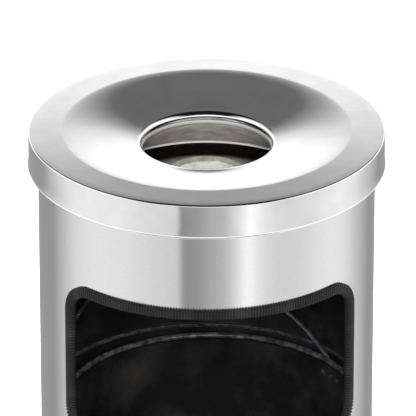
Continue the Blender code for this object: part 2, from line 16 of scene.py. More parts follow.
import bpy
from mathutils import Matrix, Vector


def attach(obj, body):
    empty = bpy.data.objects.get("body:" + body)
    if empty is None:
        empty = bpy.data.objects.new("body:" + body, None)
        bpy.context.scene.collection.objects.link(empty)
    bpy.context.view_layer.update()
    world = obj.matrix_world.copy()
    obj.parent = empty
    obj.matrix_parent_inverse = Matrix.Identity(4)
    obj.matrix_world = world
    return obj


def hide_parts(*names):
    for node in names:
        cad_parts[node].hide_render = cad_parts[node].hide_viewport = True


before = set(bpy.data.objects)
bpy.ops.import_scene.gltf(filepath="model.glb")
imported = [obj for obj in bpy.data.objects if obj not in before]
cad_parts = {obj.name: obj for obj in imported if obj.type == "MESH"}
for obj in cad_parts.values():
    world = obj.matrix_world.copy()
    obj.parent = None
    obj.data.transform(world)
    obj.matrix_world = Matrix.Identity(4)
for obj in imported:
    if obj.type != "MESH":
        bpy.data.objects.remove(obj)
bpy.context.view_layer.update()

MM = 0.001
LOG = logging.getLogger("ashtray_bin")
Profile = list[tuple[float, float]]
Triple = tuple[float, float, float]
Spot = tuple[Vector, Vector]
PlaceAt = Callable[[float], tuple[Vector, Vector, Vector]]
Piece = bpy.types.Object
Socket = bpy.types.NodeSocket
WELD = 0.002 * MM  # corners nearer to each other than this are merged
THROUGH = 12 * MM  # length of a cutter that goes right through a wall
SLICE = 2 * MM  # spacing of the cuts that let a narrow strip bend
PANEL = 14 * MM  # longest stretch left undivided across a flat disc


class Rides(str, Enum):
    """The rigid bodies that pieces ride on."""

    CASING = "body"
    LID = "lid"
    TRAY = "ash_tray"
    BIN = "inner_bin"
    BAIL = "bail"


class Slot(str, Enum):
    """The record's material slots."""

    SATIN = "satin_stainless"
    POLISHED = "polished_stainless"
    WORN = "worn_steel"
    GALVANISED = "galvanised_steel"
    RIVET = "rivet_steel"
    RUBBER = "black_rubber"
    LACQUER = "black_lacquer"
    WIRE = "black_wire"


# ---- outlines ------------------------------------------------------------------------------------
def arc(centre: tuple[float, float], radius: float, start: float, end: float, steps: int) -> Profile:
    """Points on an arc in the radius-height plane.

    Args:
        centre: the arc's centre as (radius, height).
        radius: the arc's own radius.
        start: first angle in degrees, 0 pointing outwards and 90 up.
        end: last angle in degrees.
        steps: number of stretches.

    Returns:
        The points in order, both ends included.
    """
    turns = [math.radians(start + (end - start) * i / steps) for i in range(steps + 1)]
    return [(centre[0] + radius * math.cos(t), centre[1] + radius * math.sin(t)) for t in turns]


def filleted(corners: Sequence[Triple], steps: int = 5) -> Profile:
    """Round the corners of an open outline.

    Args:
        corners: (radius, height, fillet) for each corner; the two ends keep a fillet of 0.
        steps: stretches in each rounded corner.

    Returns:
        The outline's points, with each fillet as a short run of points.
    """
    points: Profile = []
    for index, (radius, height, fillet) in enumerate(corners):
        here = Vector((radius, height))
        if fillet <= 0 or index in (0, len(corners) - 1):
            points.append((radius, height))
            continue
        before = (Vector(corners[index - 1][:2]) - here).normalized()
        after = (Vector(corners[index + 1][:2]) - here).normalized()
        half = before.angle(after) / 2
        reach = fillet / math.tan(half)
        centre = here + (before + after).normalized() * fillet / math.sin(half)
        first, last = here + before * reach - centre, here + after * reach - centre
        for step in range(steps + 1):
            points.append(tuple(centre + first.normalized().slerp(last.normalized(), step / steps) * fillet))
    return points


def subdivided(outline: Profile, longest: float) -> Profile:
    """Divide an outline's long stretches, so that no stretch is longer than a length."""
    result = [outline[0]]
    for here, after in zip(outline, outline[1:]):
        count = max(1, math.ceil(math.dist(here, after) / longest))
        result += [tuple(Vector(here).lerp(Vector(after), i / count)) for i in range(1, count + 1)]
    return result


def linear(hex_colour: str) -> tuple[float, float, float, float]:
    """A screen colour such as "8a8b8d" as linear light, with an alpha of 1."""
    parts = [int(hex_colour[i : i + 2], 16) / 255 for i in (0, 2, 4)]
    curve = [c / 12.92 if c <= 0.04045 else ((c + 0.055) / 1.055) ** 2.4 for c in parts]
    return (curve[0], curve[1], curve[2], 1.0)


# ---- modelling tools -----------------------------------------------------------------------------
def deselect() -> None:
    """Leave edit mode and select nothing."""
    if bpy.context.object and bpy.context.object.mode != "OBJECT":
        bpy.ops.object.mode_set(mode="OBJECT")
    bpy.ops.object.select_all(action="DESELECT")


def activate(piece: Piece) -> None:
    """Select one piece alone and make it the active one."""
    deselect()
    piece.select_set(True)
    bpy.context.view_layer.objects.active = piece


def named(name: str) -> Piece:
    """Name the object that an operator has just added, and its mesh."""
    piece = bpy.context.object
    piece.name = name
    piece.data.name = name
    return piece


def apply_all(piece: Piece) -> Piece:
    """Apply every modifier of a piece, top to bottom."""
    activate(piece)
    for modifier in list(piece.modifiers):
        bpy.ops.object.modifier_apply(modifier=modifier.name)
    return piece


def settle(piece: Piece) -> Piece:
    """Put a piece's place into its mesh, so its object sits at the origin."""
    activate(piece)
    bpy.ops.object.transform_apply(location=True, rotation=True, scale=True)
    return piece


def smooth(piece: Piece, angle: float = 32.0) -> Piece:
    """Shade a piece smooth except across edges sharper than an angle in degrees."""
    activate(piece)
    bpy.ops.object.shade_smooth_by_angle(angle=math.radians(angle))
    return piece


@contextmanager
def editing(piece: Piece, select: str | None = "SELECT") -> Iterator[None]:
    """Edit a piece's mesh for the length of a with block.

    Args:
        piece: the piece to edit.
        select: "SELECT" or "DESELECT", for the whole mesh, or None to leave its selection alone.
    """
    activate(piece)
    bpy.ops.object.mode_set(mode="EDIT")
    if select:
        bpy.ops.mesh.select_all(action=select)
    yield
    bpy.ops.object.mode_set(mode="OBJECT")


def outward(piece: Piece) -> Piece:
    """Merge doubles and turn every face outwards."""
    with editing(piece):
        bpy.ops.mesh.remove_doubles(threshold=WELD)
        bpy.ops.mesh.normals_make_consistent(inside=False)
    return piece


def turned(name: str, profile: Profile, segments: int, closed: bool = False) -> Piece:
    """Turn a profile into a surface: a ring is added, then extruded and resized point by point.

    Args:
        name: the new piece's name.
        profile: (radius, height) points in order; a last radius of 0 closes in a pole.
        segments: divisions round the axis.
        closed: come back to the first point, for a ring with a closed section.

    Returns:
        The new piece, facing out.
    """
    deselect()
    radius, height = profile[0]
    bpy.ops.mesh.primitive_circle_add(vertices=segments, radius=radius, location=(0, 0, height))
    piece = settle(named(name))
    with editing(piece):
        for reach, level in profile[1:] + profile[:1] if closed else profile[1:]:
            bpy.ops.mesh.extrude_edges_move(TRANSFORM_OT_translate={"value": (0, 0, level - height)})
            if reach > 0:
                ratio = reach / radius
                bpy.ops.transform.resize(value=(ratio, ratio, 1), center_override=(0, 0, level))
                radius = reach
            else:
                bpy.ops.mesh.merge(type="CENTER")
            height = level
    return outward(piece)


def sheet(piece: Piece, thickness: float) -> Piece:
    """Give an open outer face its wall, growing inwards, and apply it."""
    wall = piece.modifiers.new("wall", "SOLIDIFY")
    wall.thickness = thickness
    wall.offset = -1.0
    wall.use_even_offset = True
    return apply_all(piece)


def block(name: str, size: Sequence[float], centre: Sequence[float] = (0, 0, 0)) -> Piece:
    """Add a box.

    Args:
        name: the new piece's name.
        size: its size along each axis.
        centre: its middle.

    Returns:
        The box, with its place in its mesh.
    """
    deselect()
    bpy.ops.mesh.primitive_cube_add(size=1, location=centre, scale=size)
    return settle(named(name))


def round_edges(piece: Piece, along: int, width: float, steps: int) -> None:
    """Bevel the edges of a box that run along one axis.

    Args:
        piece: the box.
        along: the axis, 0 to 2.
        width: how far the bevel reaches.
        steps: its segments.
    """
    with editing(piece, "DESELECT"):
        bpy.ops.mesh.select_mode(type="EDGE")
    for edge in piece.data.edges:
        first, second = (piece.data.vertices[i].co for i in edge.vertices)
        run = second - first
        edge.select = abs(run[along]) > 0.9 * run.length
    with editing(piece, None):
        bpy.ops.mesh.bevel(offset=width, segments=steps, affect="EDGES")


def sliced(piece: Piece, spacing: float) -> None:
    """Bisect a piece at even steps along X, so that it can be bent smoothly."""
    activate(piece)
    places = [corner[0] for corner in piece.bound_box]
    low, high = min(places), max(places)
    count = math.ceil((high - low) / spacing)
    with editing(piece):
        for step in range(1, count):
            bpy.ops.mesh.select_all(action="SELECT")
            bpy.ops.mesh.bisect(plane_co=(low + (high - low) * step / count, 0, 0), plane_no=(1, 0, 0))


def bent(piece: Piece, radius: float, heading: float) -> Piece:
    """Bend a flat piece on to an upright cylinder.

    Args:
        piece: drawn with X along the wall, -Y out of it and Z up.
        radius: the cylinder that the piece's Y = 0 face comes to lie on.
        heading: where X = 0 comes to lie, in radians from +X.

    Returns:
        The same piece, facing out.
    """
    for vert in piece.data.vertices:
        angle = heading + vert.co.x / radius
        reach = radius - vert.co.y
        vert.co = (reach * math.cos(angle), reach * math.sin(angle), vert.co.z)
    return outward(piece)


def cut(piece: Piece, cutters: Iterable[Piece]) -> Piece:
    """Cut pieces out of a piece, one after another, and remove the cutters."""
    for cutter in cutters:
        step = piece.modifiers.new("cut", "BOOLEAN")
        step.operation = "DIFFERENCE"
        step.solver = "EXACT"
        step.object = cutter
        apply_all(piece)
        bpy.data.objects.remove(cutter, do_unlink=True)
    return piece


def drill(radius: float, spot: Spot, length: float = THROUGH) -> Piece:
    """Add a round cutter.

    Args:
        radius: the hole's radius.
        spot: the cutter's middle and its direction.
        length: the cutter's length.

    Returns:
        The cutter, with its place in its mesh.
    """
    deselect()
    turn = Vector((0, 0, 1)).rotation_difference(spot[1]).to_euler()
    bpy.ops.mesh.primitive_cylinder_add(vertices=32, radius=radius, depth=length, location=spot[0], rotation=turn)
    return settle(named("drill"))


def shaped(piece: Piece, first: int, section: Profile) -> None:
    """Move a circle's corners, from a number on, to a section's corners in the plane X = 0."""
    for vert, (side, up) in zip(list(piece.data.vertices)[first:], section):
        vert.co = (0, side, up)


def bar(name: str, section: Profile, stations: Profile, capped: bool = True) -> Piece:
    """Extrude a closed section along X, ring by ring, for a strip or a wire that then follows a path.

    Args:
        name: the new piece's name.
        section: (side, up) corners in order.
        stations: (distance along X, size of the section there, 1 being full size).
        capped: close both ends.

    Returns:
        The straight bar.
    """
    deselect()
    count = len(section)
    bpy.ops.mesh.primitive_circle_add(vertices=count, radius=1.0)
    piece = named(name)
    shaped(piece, 0, section)
    if capped:
        with editing(piece):
            bpy.ops.mesh.edge_face_add()
            bpy.ops.mesh.select_all(action="DESELECT")
            bpy.ops.mesh.primitive_circle_add(vertices=count, radius=1.0)
        shaped(piece, count, section)
    middle = [sum(point[i] for point in section) / count for i in (0, 1)]
    at, size = stations[0]
    with editing(piece, None if capped else "SELECT"):
        for along, scale in stations[1:]:
            bpy.ops.mesh.extrude_edges_move(TRANSFORM_OT_translate={"value": (along - at, 0, 0)})
            ratio = scale / size
            bpy.ops.transform.resize(value=(1, ratio, ratio), center_override=(along, *middle))
            at, size = along, scale
        if capped:
            bpy.ops.mesh.edge_face_add()
    return piece


def follow(piece: Piece, place: PlaceAt) -> Piece:
    """Bend a straight bar along a path.

    Args:
        piece: a bar that runs along X.
        place: gives the point, the side direction and the up direction at a distance.

    Returns:
        The same piece, facing out.
    """
    for vert in piece.data.vertices:
        point, side, up = place(vert.co.x)
        vert.co = point + side * vert.co.y + up * vert.co.z
    return outward(piece)


def stations_on(path: Sequence[Vector]) -> list[float]:
    """Distances of a path's points from its start."""
    total = [0.0]
    for here, after in zip(path, path[1:]):
        total.append(total[-1] + (after - here).length)
    return total


def along_path(path: Sequence[Vector], side: Vector) -> PlaceAt:
    """A place function for a path of points in one plane, whose normal is the side direction."""
    marks = stations_on(path)

    def place(distance: float) -> tuple[Vector, Vector, Vector]:
        """The nearest point's frame; bars have their rings at the points."""
        index = min(range(len(marks)), key=lambda i: abs(marks[i] - distance))
        before, after = path[max(index - 1, 0)], path[min(index + 1, len(path) - 1)]
        run = (after - before).normalized()
        return path[index] + run * (distance - marks[index]), side, run.cross(side)

    return place


def wired(name: str, section: Profile, path: Sequence[Vector], side: Vector) -> Piece:
    """Bend a bar along a path.

    Args:
        name: the new piece's name.
        section: (side, up) corners of the bar's section, in order.
        path: the points that it follows, all in one plane.
        side: that plane's normal, the section's side direction.

    Returns:
        The bent bar, facing out.
    """
    straight = bar(name, section, [(distance, 1.0) for distance in stations_on(path)])
    return follow(straight, along_path(path, side))


def lap(name: str, size: tuple[float, float], levels: tuple[float, float], ease: float, radius: float,
        heading: float) -> Piece:
    """Lay an upright strip against the inside of a wall, as a sheet's second thickness.

    Args:
        name: the strip's name.
        size: its width and thickness.
        levels: where it starts and ends.
        ease: how much its long edges are rounded.
        radius: the wall's inner radius.
        heading: where it lies.

    Returns:
        The strip.
    """
    width, thick = size
    low, high = levels
    strip = block(name, (width, thick, high - low), (0, thick / 2, (low + high) / 2))
    round_edges(strip, 2, ease, 2)
    sliced(strip, SLICE)
    return bent(strip, radius, heading)


def placed(piece: Piece, matrix: Matrix) -> Piece:
    """Move a piece's mesh by a matrix, leaving its object at the origin."""
    piece.data.transform(matrix)
    piece.data.update()
    return piece


def compass(heading: float) -> Vector:
    """The level unit vector at a heading in radians from +X."""
    return Vector((math.cos(heading), math.sin(heading), 0))


def standing(heading: float, radius: float, height: float, centre_x: float = 0.0) -> Vector:
    """The point at a place about an upright axis.

    Args:
        heading: its direction from the axis, in radians from +X.
        radius: its distance from the axis.
        height: its height.
        centre_x: where the axis crosses X.

    Returns:
        The point.
    """
    return compass(heading) * radius + Vector((centre_x, 0, height))


# ---- finishes ------------------------------------------------------------------------------------
def add(tree: bpy.types.NodeTree, kind: str, settings: dict, links: dict) -> bpy.types.Node:
    """Add a node with its settings and its links.

    Args:
        tree: the node tree.
        kind: the node's type name without "ShaderNode".
        settings: attribute names, or input names or numbers, each with a value.
        links: input names or numbers, each with the output socket that feeds it.

    Returns:
        The new node.
    """
    node = tree.nodes.new(f"ShaderNode{kind}")
    for key, value in settings.items():
        if isinstance(key, str) and hasattr(node, key):
            setattr(node, key, value)
    for key, value in settings.items():
        if isinstance(key, int) or not hasattr(node, key):
            node.inputs[key].default_value = value
    for key, source in links.items():
        tree.links.new(source, node.inputs[key])
    return node


def ramp(tree: bpy.types.NodeTree, source: Socket, stops: Sequence[tuple]) -> Socket:
    """Map a number to colours.

    Args:
        tree: the node tree.
        source: the number's output socket.
        stops: (place, hex colour or brightness) in order.

    Returns:
        The colour output.
    """
    node = add(tree, "ValToRGB", {}, {"Fac": source})
    band = node.color_ramp
    while len(band.elements) < len(stops):
        band.elements.new(0.5)
    for element, (place, colour) in zip(band.elements, stops):
        element.position = place
        element.color = linear(colour) if isinstance(colour, str) else (colour, colour, colour, 1.0)
    return node.outputs["Color"]


@dataclass
class Mix:
    """A material being mixed: its tree, its shader and its coordinates."""

    material: bpy.types.Material
    tree: bpy.types.NodeTree
    shader: bpy.types.Node
    place: Socket

    @classmethod
    def start(cls, name: str, shader: dict) -> Mix:
        """Start a material whose shader has the given constant settings."""
        material = bpy.data.materials.new(name)
        material.use_nodes = True
        tree = material.node_tree
        principled = tree.nodes["Principled BSDF"]
        for key, value in shader.items():
            principled.inputs[key].default_value = value
        place = add(tree, "TexCoord", {}, {}).outputs["Object"]
        return cls(material, tree, principled, place)

    def noise(self, size_mm: float, stretch: Triple = (1, 1, 1), detail: float = 3, rough: float = 0.5) -> Socket:
        """Noise by place.

        Args:
            size_mm: about how large its features are, in millimetres.
            stretch: how much they are squeezed along each axis.
            detail: how many finer layers it has.
            rough: how strong those are.

        Returns:
            The noise, about 0.5 in the mean.
        """
        scale = tuple(s / (size_mm * MM) for s in stretch)
        mapping = add(self.tree, "Mapping", {"Scale": scale}, {"Vector": self.place})
        settings = {"Scale": 1.0, "Detail": detail, "Roughness": rough}
        return add(self.tree, "TexNoise", settings, {"Vector": mapping.outputs[0]}).outputs["Fac"]

    def span(self, source: Socket, low: float, high: float, to: tuple[float, float] = (0.0, 1.0)) -> Socket:
        """Stretch a range of a number on to another range.

        Args:
            source: the number.
            low: where its range starts.
            high: where its range ends.
            to: what it is at the start and at the end, and beyond them.

        Returns:
            The new number.
        """
        settings = {"From Min": low, "From Max": high, "To Min": to[0], "To Max": to[1]}
        return add(self.tree, "MapRange", settings, {"Value": source}).outputs["Result"]

    def blend(self, share: Socket, first: Socket | str, second: Socket | str) -> Socket:
        """Mix two colours.

        Args:
            share: how much of the second there is, 0 to 1.
            first: a socket or a hex colour.
            second: a socket or a hex colour.

        Returns:
            The mixed colour.
        """
        node = add(self.tree, "Mix", {"data_type": "RGBA"}, {0: share})
        for index, colour in ((6, first), (7, second)):
            if isinstance(colour, str):
                node.inputs[index].default_value = linear(colour)
            else:
                self.tree.links.new(colour, node.inputs[index])
        return node.outputs[2]

    def sum(self, first: Socket, second: Socket, share: float) -> Socket:
        """Add a share of one number to another.

        Args:
            first: the number that it is added to.
            second: the number of which a share is added.
            share: the share.

        Returns:
            The sum.
        """
        settings = {"operation": "MULTIPLY_ADD", 1: share}
        return add(self.tree, "Math", settings, {0: second, 2: first}).outputs[0]

    def radius(self) -> Socket:
        """Distance from the upright axis."""
        moved = add(self.tree, "Mapping", {"Scale": (1, 1, 0)}, {"Vector": self.place})
        return add(self.tree, "VectorMath", {"operation": "LENGTH"}, {0: moved.outputs[0]}).outputs["Value"]

    def feed(self, **sockets: Socket) -> None:
        """Link sockets to the shader's inputs, with underscores for spaces in their names."""
        for key, source in sockets.items():
            self.tree.links.new(source, self.shader.inputs[key.replace("_", " ")])

    def bump(self, height: Socket, depth_mm: float, strength: float = 1.0) -> None:
        """Raise the surface.

        Args:
            height: the relief, 0 to 1.
            depth_mm: its full depth in millimetres.
            strength: how much of it shows.
        """
        settings = {"Strength": strength, "Distance": depth_mm * MM}
        node = add(self.tree, "Bump", settings, {"Height": height})
        self.tree.links.new(node.outputs["Normal"], self.shader.inputs["Normal"])


@dataclass(frozen=True)
class SatinStainless:
    """Rolled stainless sheet, brushed round the tube: bands of light stay crisp sideways and run down it."""

    colour: str = "e3e2e3"
    streak: str = "dcdbdc"
    roughness: float = 0.15
    grain_mm: float = 0.3

    def make(self) -> bpy.types.Material:
        """Brushed grain as level streaks in the roughness, the tint and a slight relief."""
        mix = Mix.start("satin_stainless", {"Metallic": 1.0, "Anisotropic": 0.6, "Anisotropic Rotation": 0.25})
        grain = mix.noise(self.grain_mm, (0.25, 0.25, 1), detail=2)
        cloud = mix.noise(60, detail=2)
        tint = mix.blend(mix.span(grain, 0.35, 0.65), self.colour, self.streak)
        rough = mix.span(mix.sum(grain, cloud, 0.4), 0.4, 1.0, (self.roughness * 0.9, self.roughness * 1.12))
        mix.feed(Base_Color=tint, Roughness=rough)
        mix.bump(grain, 0.0012, 0.2)
        tangent = add(mix.tree, "Tangent", {"direction_type": "RADIAL", "axis": "Z"}, {})
        mix.feed(Tangent=tangent.outputs[0])
        return mix.material


@dataclass(frozen=True)
class PolishedStainless:
    """Spun stainless, polished almost to a mirror: soft reflections, faint turning lines, thin wipe marks."""

    colour: str = "e9e9ea"
    shade: str = "e1e1e2"
    roughness: float = 0.07
    line_mm: float = 0.5

    def make(self) -> bpy.types.Material:
        """Turning lines follow the distance from the axis and the height."""
        mix = Mix.start("polished_stainless", {"Metallic": 1.0})
        rings = add(mix.tree, "CombineXYZ", {}, {"X": mix.radius()})
        split = add(mix.tree, "SeparateXYZ", {}, {"Vector": mix.place})
        mix.tree.links.new(split.outputs["Z"], rings.inputs["Y"])
        settings = {"Scale": 1 / (self.line_mm * MM), "Detail": 2.0}
        lines = add(mix.tree, "TexNoise", settings, {"Vector": rings.outputs[0]}).outputs["Fac"]
        smear = mix.noise(26, detail=3, rough=0.6)
        mix.feed(Base_Color=mix.blend(mix.span(smear, 0.4, 0.7), self.colour, self.shade))
        low, high = self.roughness * 0.8, self.roughness * 1.3
        mix.feed(Roughness=mix.span(mix.sum(smear, lines, 0.3), 0.45, 0.95, (low, high)))
        mix.bump(lines, 0.0015, 0.2)
        return mix.material


@dataclass(frozen=True)
class StainedSteel:
    """Pressed steel that cigarettes are put out on: taupe, smoked brown round the plateau, rubbed bright in the middle,
    and going black towards the wall as painted shade under the damper cone's rim.
    """

    clean: str = "6c675f"
    smoked: str = "645d53"
    # black of the soot stains, and of the painted shade in the moat under the damper cone's rim
    soot_and_shade: str = "12110f"
    rubbed: str = "a8a9a4"
    ash: str = "8f8a83"
    rubbed_radius: float = 27.0 * MM
    smoked_radius: float = 31.5 * MM
    # where the painted shadow under the damper cone's rim has gone fully black
    painted_shade_radius: float = 84 * MM
    wall_radius: float = 108 * MM

    def make(self) -> bpy.types.Material:
        """Zones by distance from the axis, broken up by stains, scratches and specks of ash; the zone that fades to
        black towards the wall is a painted shadow of the damper cone's rim.
        """
        mix = Mix.start("stained_steel", {"Metallic": 0.4})
        stains = mix.noise(14, detail=6, rough=0.65)
        specks = mix.noise(0.9, detail=2)
        scratch = mix.noise(1.2, (1, 0.08, 1), detail=3)
        outer = self.wall_radius * 1.2
        reach = mix.sum(mix.radius(), stains, 5 * MM)
        zone = mix.span(reach, 2.5 * MM, outer + 2.5 * MM)
        # from 34 mm inside the shade radius out to the wall the stops fade to black: a painted shadow of the damper
        # cone's rim, not soot
        marks = [(0.0, self.rubbed), (self.rubbed_radius - 1.5 * MM, self.rubbed), (self.rubbed_radius, self.clean),
                 (self.smoked_radius, self.smoked), (self.painted_shade_radius - 34 * MM, self.smoked),
                 (self.painted_shade_radius, self.soot_and_shade), (self.wall_radius, self.soot_and_shade), (self.wall_radius + 5 * MM, self.clean)]
        stops = [(radius / outer, colour) for radius, colour in marks]
        zones = ramp(mix.tree, zone, stops)
        mottled = mix.blend(mix.span(stains, 0.45, 0.7, (0.0, 0.6)), zones, self.soot_and_shade)
        flecked = mix.blend(mix.span(specks, 0.66, 0.72), mottled, self.ash)
        mix.feed(Base_Color=flecked, Roughness=mix.span(mix.sum(stains, scratch, 0.5), 0.4, 1.1, (0.22, 0.55)))
        mix.bump(mix.sum(stains, specks, 0.3), 0.05, 0.3)
        return mix.material


@dataclass(frozen=True)
class SmokedSteel:
    """Bare pressed steel over the ashes: dull warm grey, speckled with tar, brighter along its rolled rim."""

    base: str = "c3bcb4"
    tar: str = "938a80"
    rim: str = "a9a7a3"
    collar: str = "8f8f8e"
    joint: str = "4a4540"
    rim_radius: float = 84.5 * MM
    collar_radius: float = 48.0 * MM

    def make(self) -> bpy.types.Material:
        """Warm grey with fine speckle; the cleaner collar, its sooty joint and the rubbed rim by their radius."""
        mix = Mix.start("smoked_steel", {"Metallic": 0.35})
        speckle = mix.noise(0.8, detail=4, rough=0.7)
        cloud = mix.noise(11, detail=5)
        body = mix.blend(mix.span(mix.sum(cloud, speckle, 0.5), 0.6, 1.0), self.base, self.tar)
        rubbed = mix.span(mix.radius(), self.rim_radius - 1 * MM, self.rim_radius)
        ragged = mix.sum(mix.radius(), speckle, 0.8 * MM)
        joint, collar = (mix.span(ragged, self.collar_radius + far * MM, self.collar_radius + (far - 0.3) * MM)
                         for far in (1.6, 0.9))
        collared = mix.blend(collar, mix.blend(joint, body, self.joint), self.collar)
        mix.feed(Base_Color=mix.blend(rubbed, collared, self.rim))
        mix.feed(Roughness=mix.span(rubbed, 0.0, 1.0, (0.48, 0.32)))
        mix.bump(mix.sum(cloud, speckle, 0.6), 0.04, 0.35)
        return mix.material


@dataclass(frozen=True)
class BlackLacquer:
    """Baked black lacquer on sheet: a deep gloss with a slight orange peel and a little dust."""

    colour: str = "0b0b0c"
    dust: str = "1d1c1b"
    roughness: float = 0.16
    peel_mm: float = 1.4

    def make(self) -> bpy.types.Material:
        """Orange peel as a fine relief, dust as patches of lighter, duller film."""
        mix = Mix.start("black_lacquer", {"Metallic": 0.0, "IOR": 1.5, "Coat Weight": 0.5, "Coat Roughness": 0.06})
        peel = mix.noise(self.peel_mm, detail=2)
        film = mix.noise(45, detail=5, rough=0.6)
        mix.feed(Base_Color=mix.blend(mix.span(film, 0.45, 0.75), self.colour, self.dust))
        mix.feed(Roughness=mix.span(film, 0.35, 0.75, (self.roughness, self.roughness * 1.8)))
        mix.bump(peel, 0.02, 0.12)
        return mix.material


@dataclass(frozen=True)
class MouldedRubber:
    """Black moulded PVC rubber: matt, a shade lighter where it is handled, with a soft sheen."""

    colour: str = "0a0a0b"
    worn: str = "151516"
    roughness: float = 0.42

    def make(self) -> bpy.types.Material:
        """A fine leathery relief with scuffed patches."""
        mix = Mix.start("moulded_rubber", {"Metallic": 0.0, "IOR": 1.52, "Specular IOR Level": 0.28})
        pores = mix.noise(0.6, detail=2)
        scuffs = mix.noise(18, detail=4)
        mix.feed(Base_Color=mix.blend(mix.span(scuffs, 0.45, 0.7), self.colour, self.worn))
        mix.feed(Roughness=mix.span(pores, 0.3, 0.7, (self.roughness * 0.85, self.roughness * 1.2)))
        mix.bump(pores, 0.02, 0.2)
        return mix.material


@dataclass(frozen=True)
class LacqueredWire:
    """Black-lacquered steel wire: a smooth gloss, rubbed towards the metal where it bears."""

    name: str = "lacquered_wire"
    colour: str = "1d1d20"
    rubbed: str = "39393c"
    metallic: float = 0.3
    roughness: float = 0.2

    def make(self) -> bpy.types.Material:
        """Rubbed patches a few millimetres long, and a fine unevenness in the coat."""
        mix = Mix.start(self.name, {"IOR": 1.5, "Metallic": self.metallic, "Coat Weight": 0.4, "Coat Roughness": 0.12})
        rub = mix.noise(5, detail=3)
        coat = mix.noise(1.2, detail=2)
        mix.feed(Base_Color=mix.blend(mix.span(rub, 0.4, 0.7), self.colour, self.rubbed))
        mix.feed(Roughness=mix.span(coat, 0.3, 0.7, (self.roughness * 0.85, self.roughness * 1.3)))
        mix.bump(coat, 0.006, 0.12)
        return mix.material


@dataclass(frozen=True)
class GalvanisedSteel:
    """Hot-dip galvanised sheet: blue-grey zinc with crystal spangles a few millimetres across."""

    dark: str = "8b9094"
    light: str = "b4b8ba"
    spangle_mm: float = 9.0

    def make(self) -> bpy.types.Material:
        """Spangles as cells, each with its own shade and gloss."""
        mix = Mix.start("galvanised_steel", {"Metallic": 0.9})
        cells = add(mix.tree, "TexVoronoi", {"Scale": 1 / (self.spangle_mm * MM)}, {"Vector": mix.place})
        grey = add(mix.tree, "RGBToBW", {}, {0: cells.outputs["Color"]}).outputs[0]
        mix.feed(Base_Color=mix.blend(grey, self.dark, self.light))
        mix.feed(Roughness=mix.span(grey, 0.0, 1.0, (0.34, 0.5)))
        mix.bump(mix.noise(2.0), 0.02, 0.2)
        return mix.material


@dataclass(frozen=True)
class RivetSteel:
    """Bright drawn steel of a rivet's head: glossy, with light tool marks."""

    colour: str = "c9c9c8"
    mark: str = "9b9b9a"

    def make(self) -> bpy.types.Material:
        """Tool marks as fine roughness changes."""
        mix = Mix.start("rivet_steel", {"Metallic": 1.0})
        marks = mix.noise(0.7, detail=4)
        mix.feed(Base_Color=mix.blend(marks, self.colour, self.mark))
        mix.feed(Roughness=mix.span(marks, 0.3, 0.7, (0.18, 0.34)))
        mix.bump(marks, 0.01, 0.2)
        return mix.material


@dataclass(frozen=True)
class Look:
    """A material and the slot that it fills."""

    material: bpy.types.Material
    slot: Slot


class Finishes:
    """Every finish, made once and shared."""

    def __init__(self) -> None:
        """Make the materials."""
        self.satin = Look(SatinStainless().make(), Slot.SATIN)
        self.polished = Look(PolishedStainless().make(), Slot.POLISHED)
        self.stained = Look(StainedSteel().make(), Slot.WORN)
        self.smoked = Look(SmokedSteel().make(), Slot.WORN)
        self.lacquer = Look(BlackLacquer().make(), Slot.LACQUER)
        self.rubber = Look(MouldedRubber().make(), Slot.RUBBER)
        self.wire = Look(LacqueredWire().make(), Slot.WIRE)
        self.rim = Look(LacqueredWire("rubbed_rim", "333337", "6c6c70", 0.7, 0.11).make(), Slot.LACQUER)
        self.galvanised = Look(GalvanisedSteel().make(), Slot.GALVANISED)
        self.rivet = Look(RivetSteel().make(), Slot.RIVET)


# ---- sub-assemblies ------------------------------------------------------------------------------
@dataclass(frozen=True)
class Rivet:
    """Sizes of a blind rivet."""

    shank: float = 1.5 * MM
    head: float = 2.6 * MM
    dome: float = 0.8 * MM


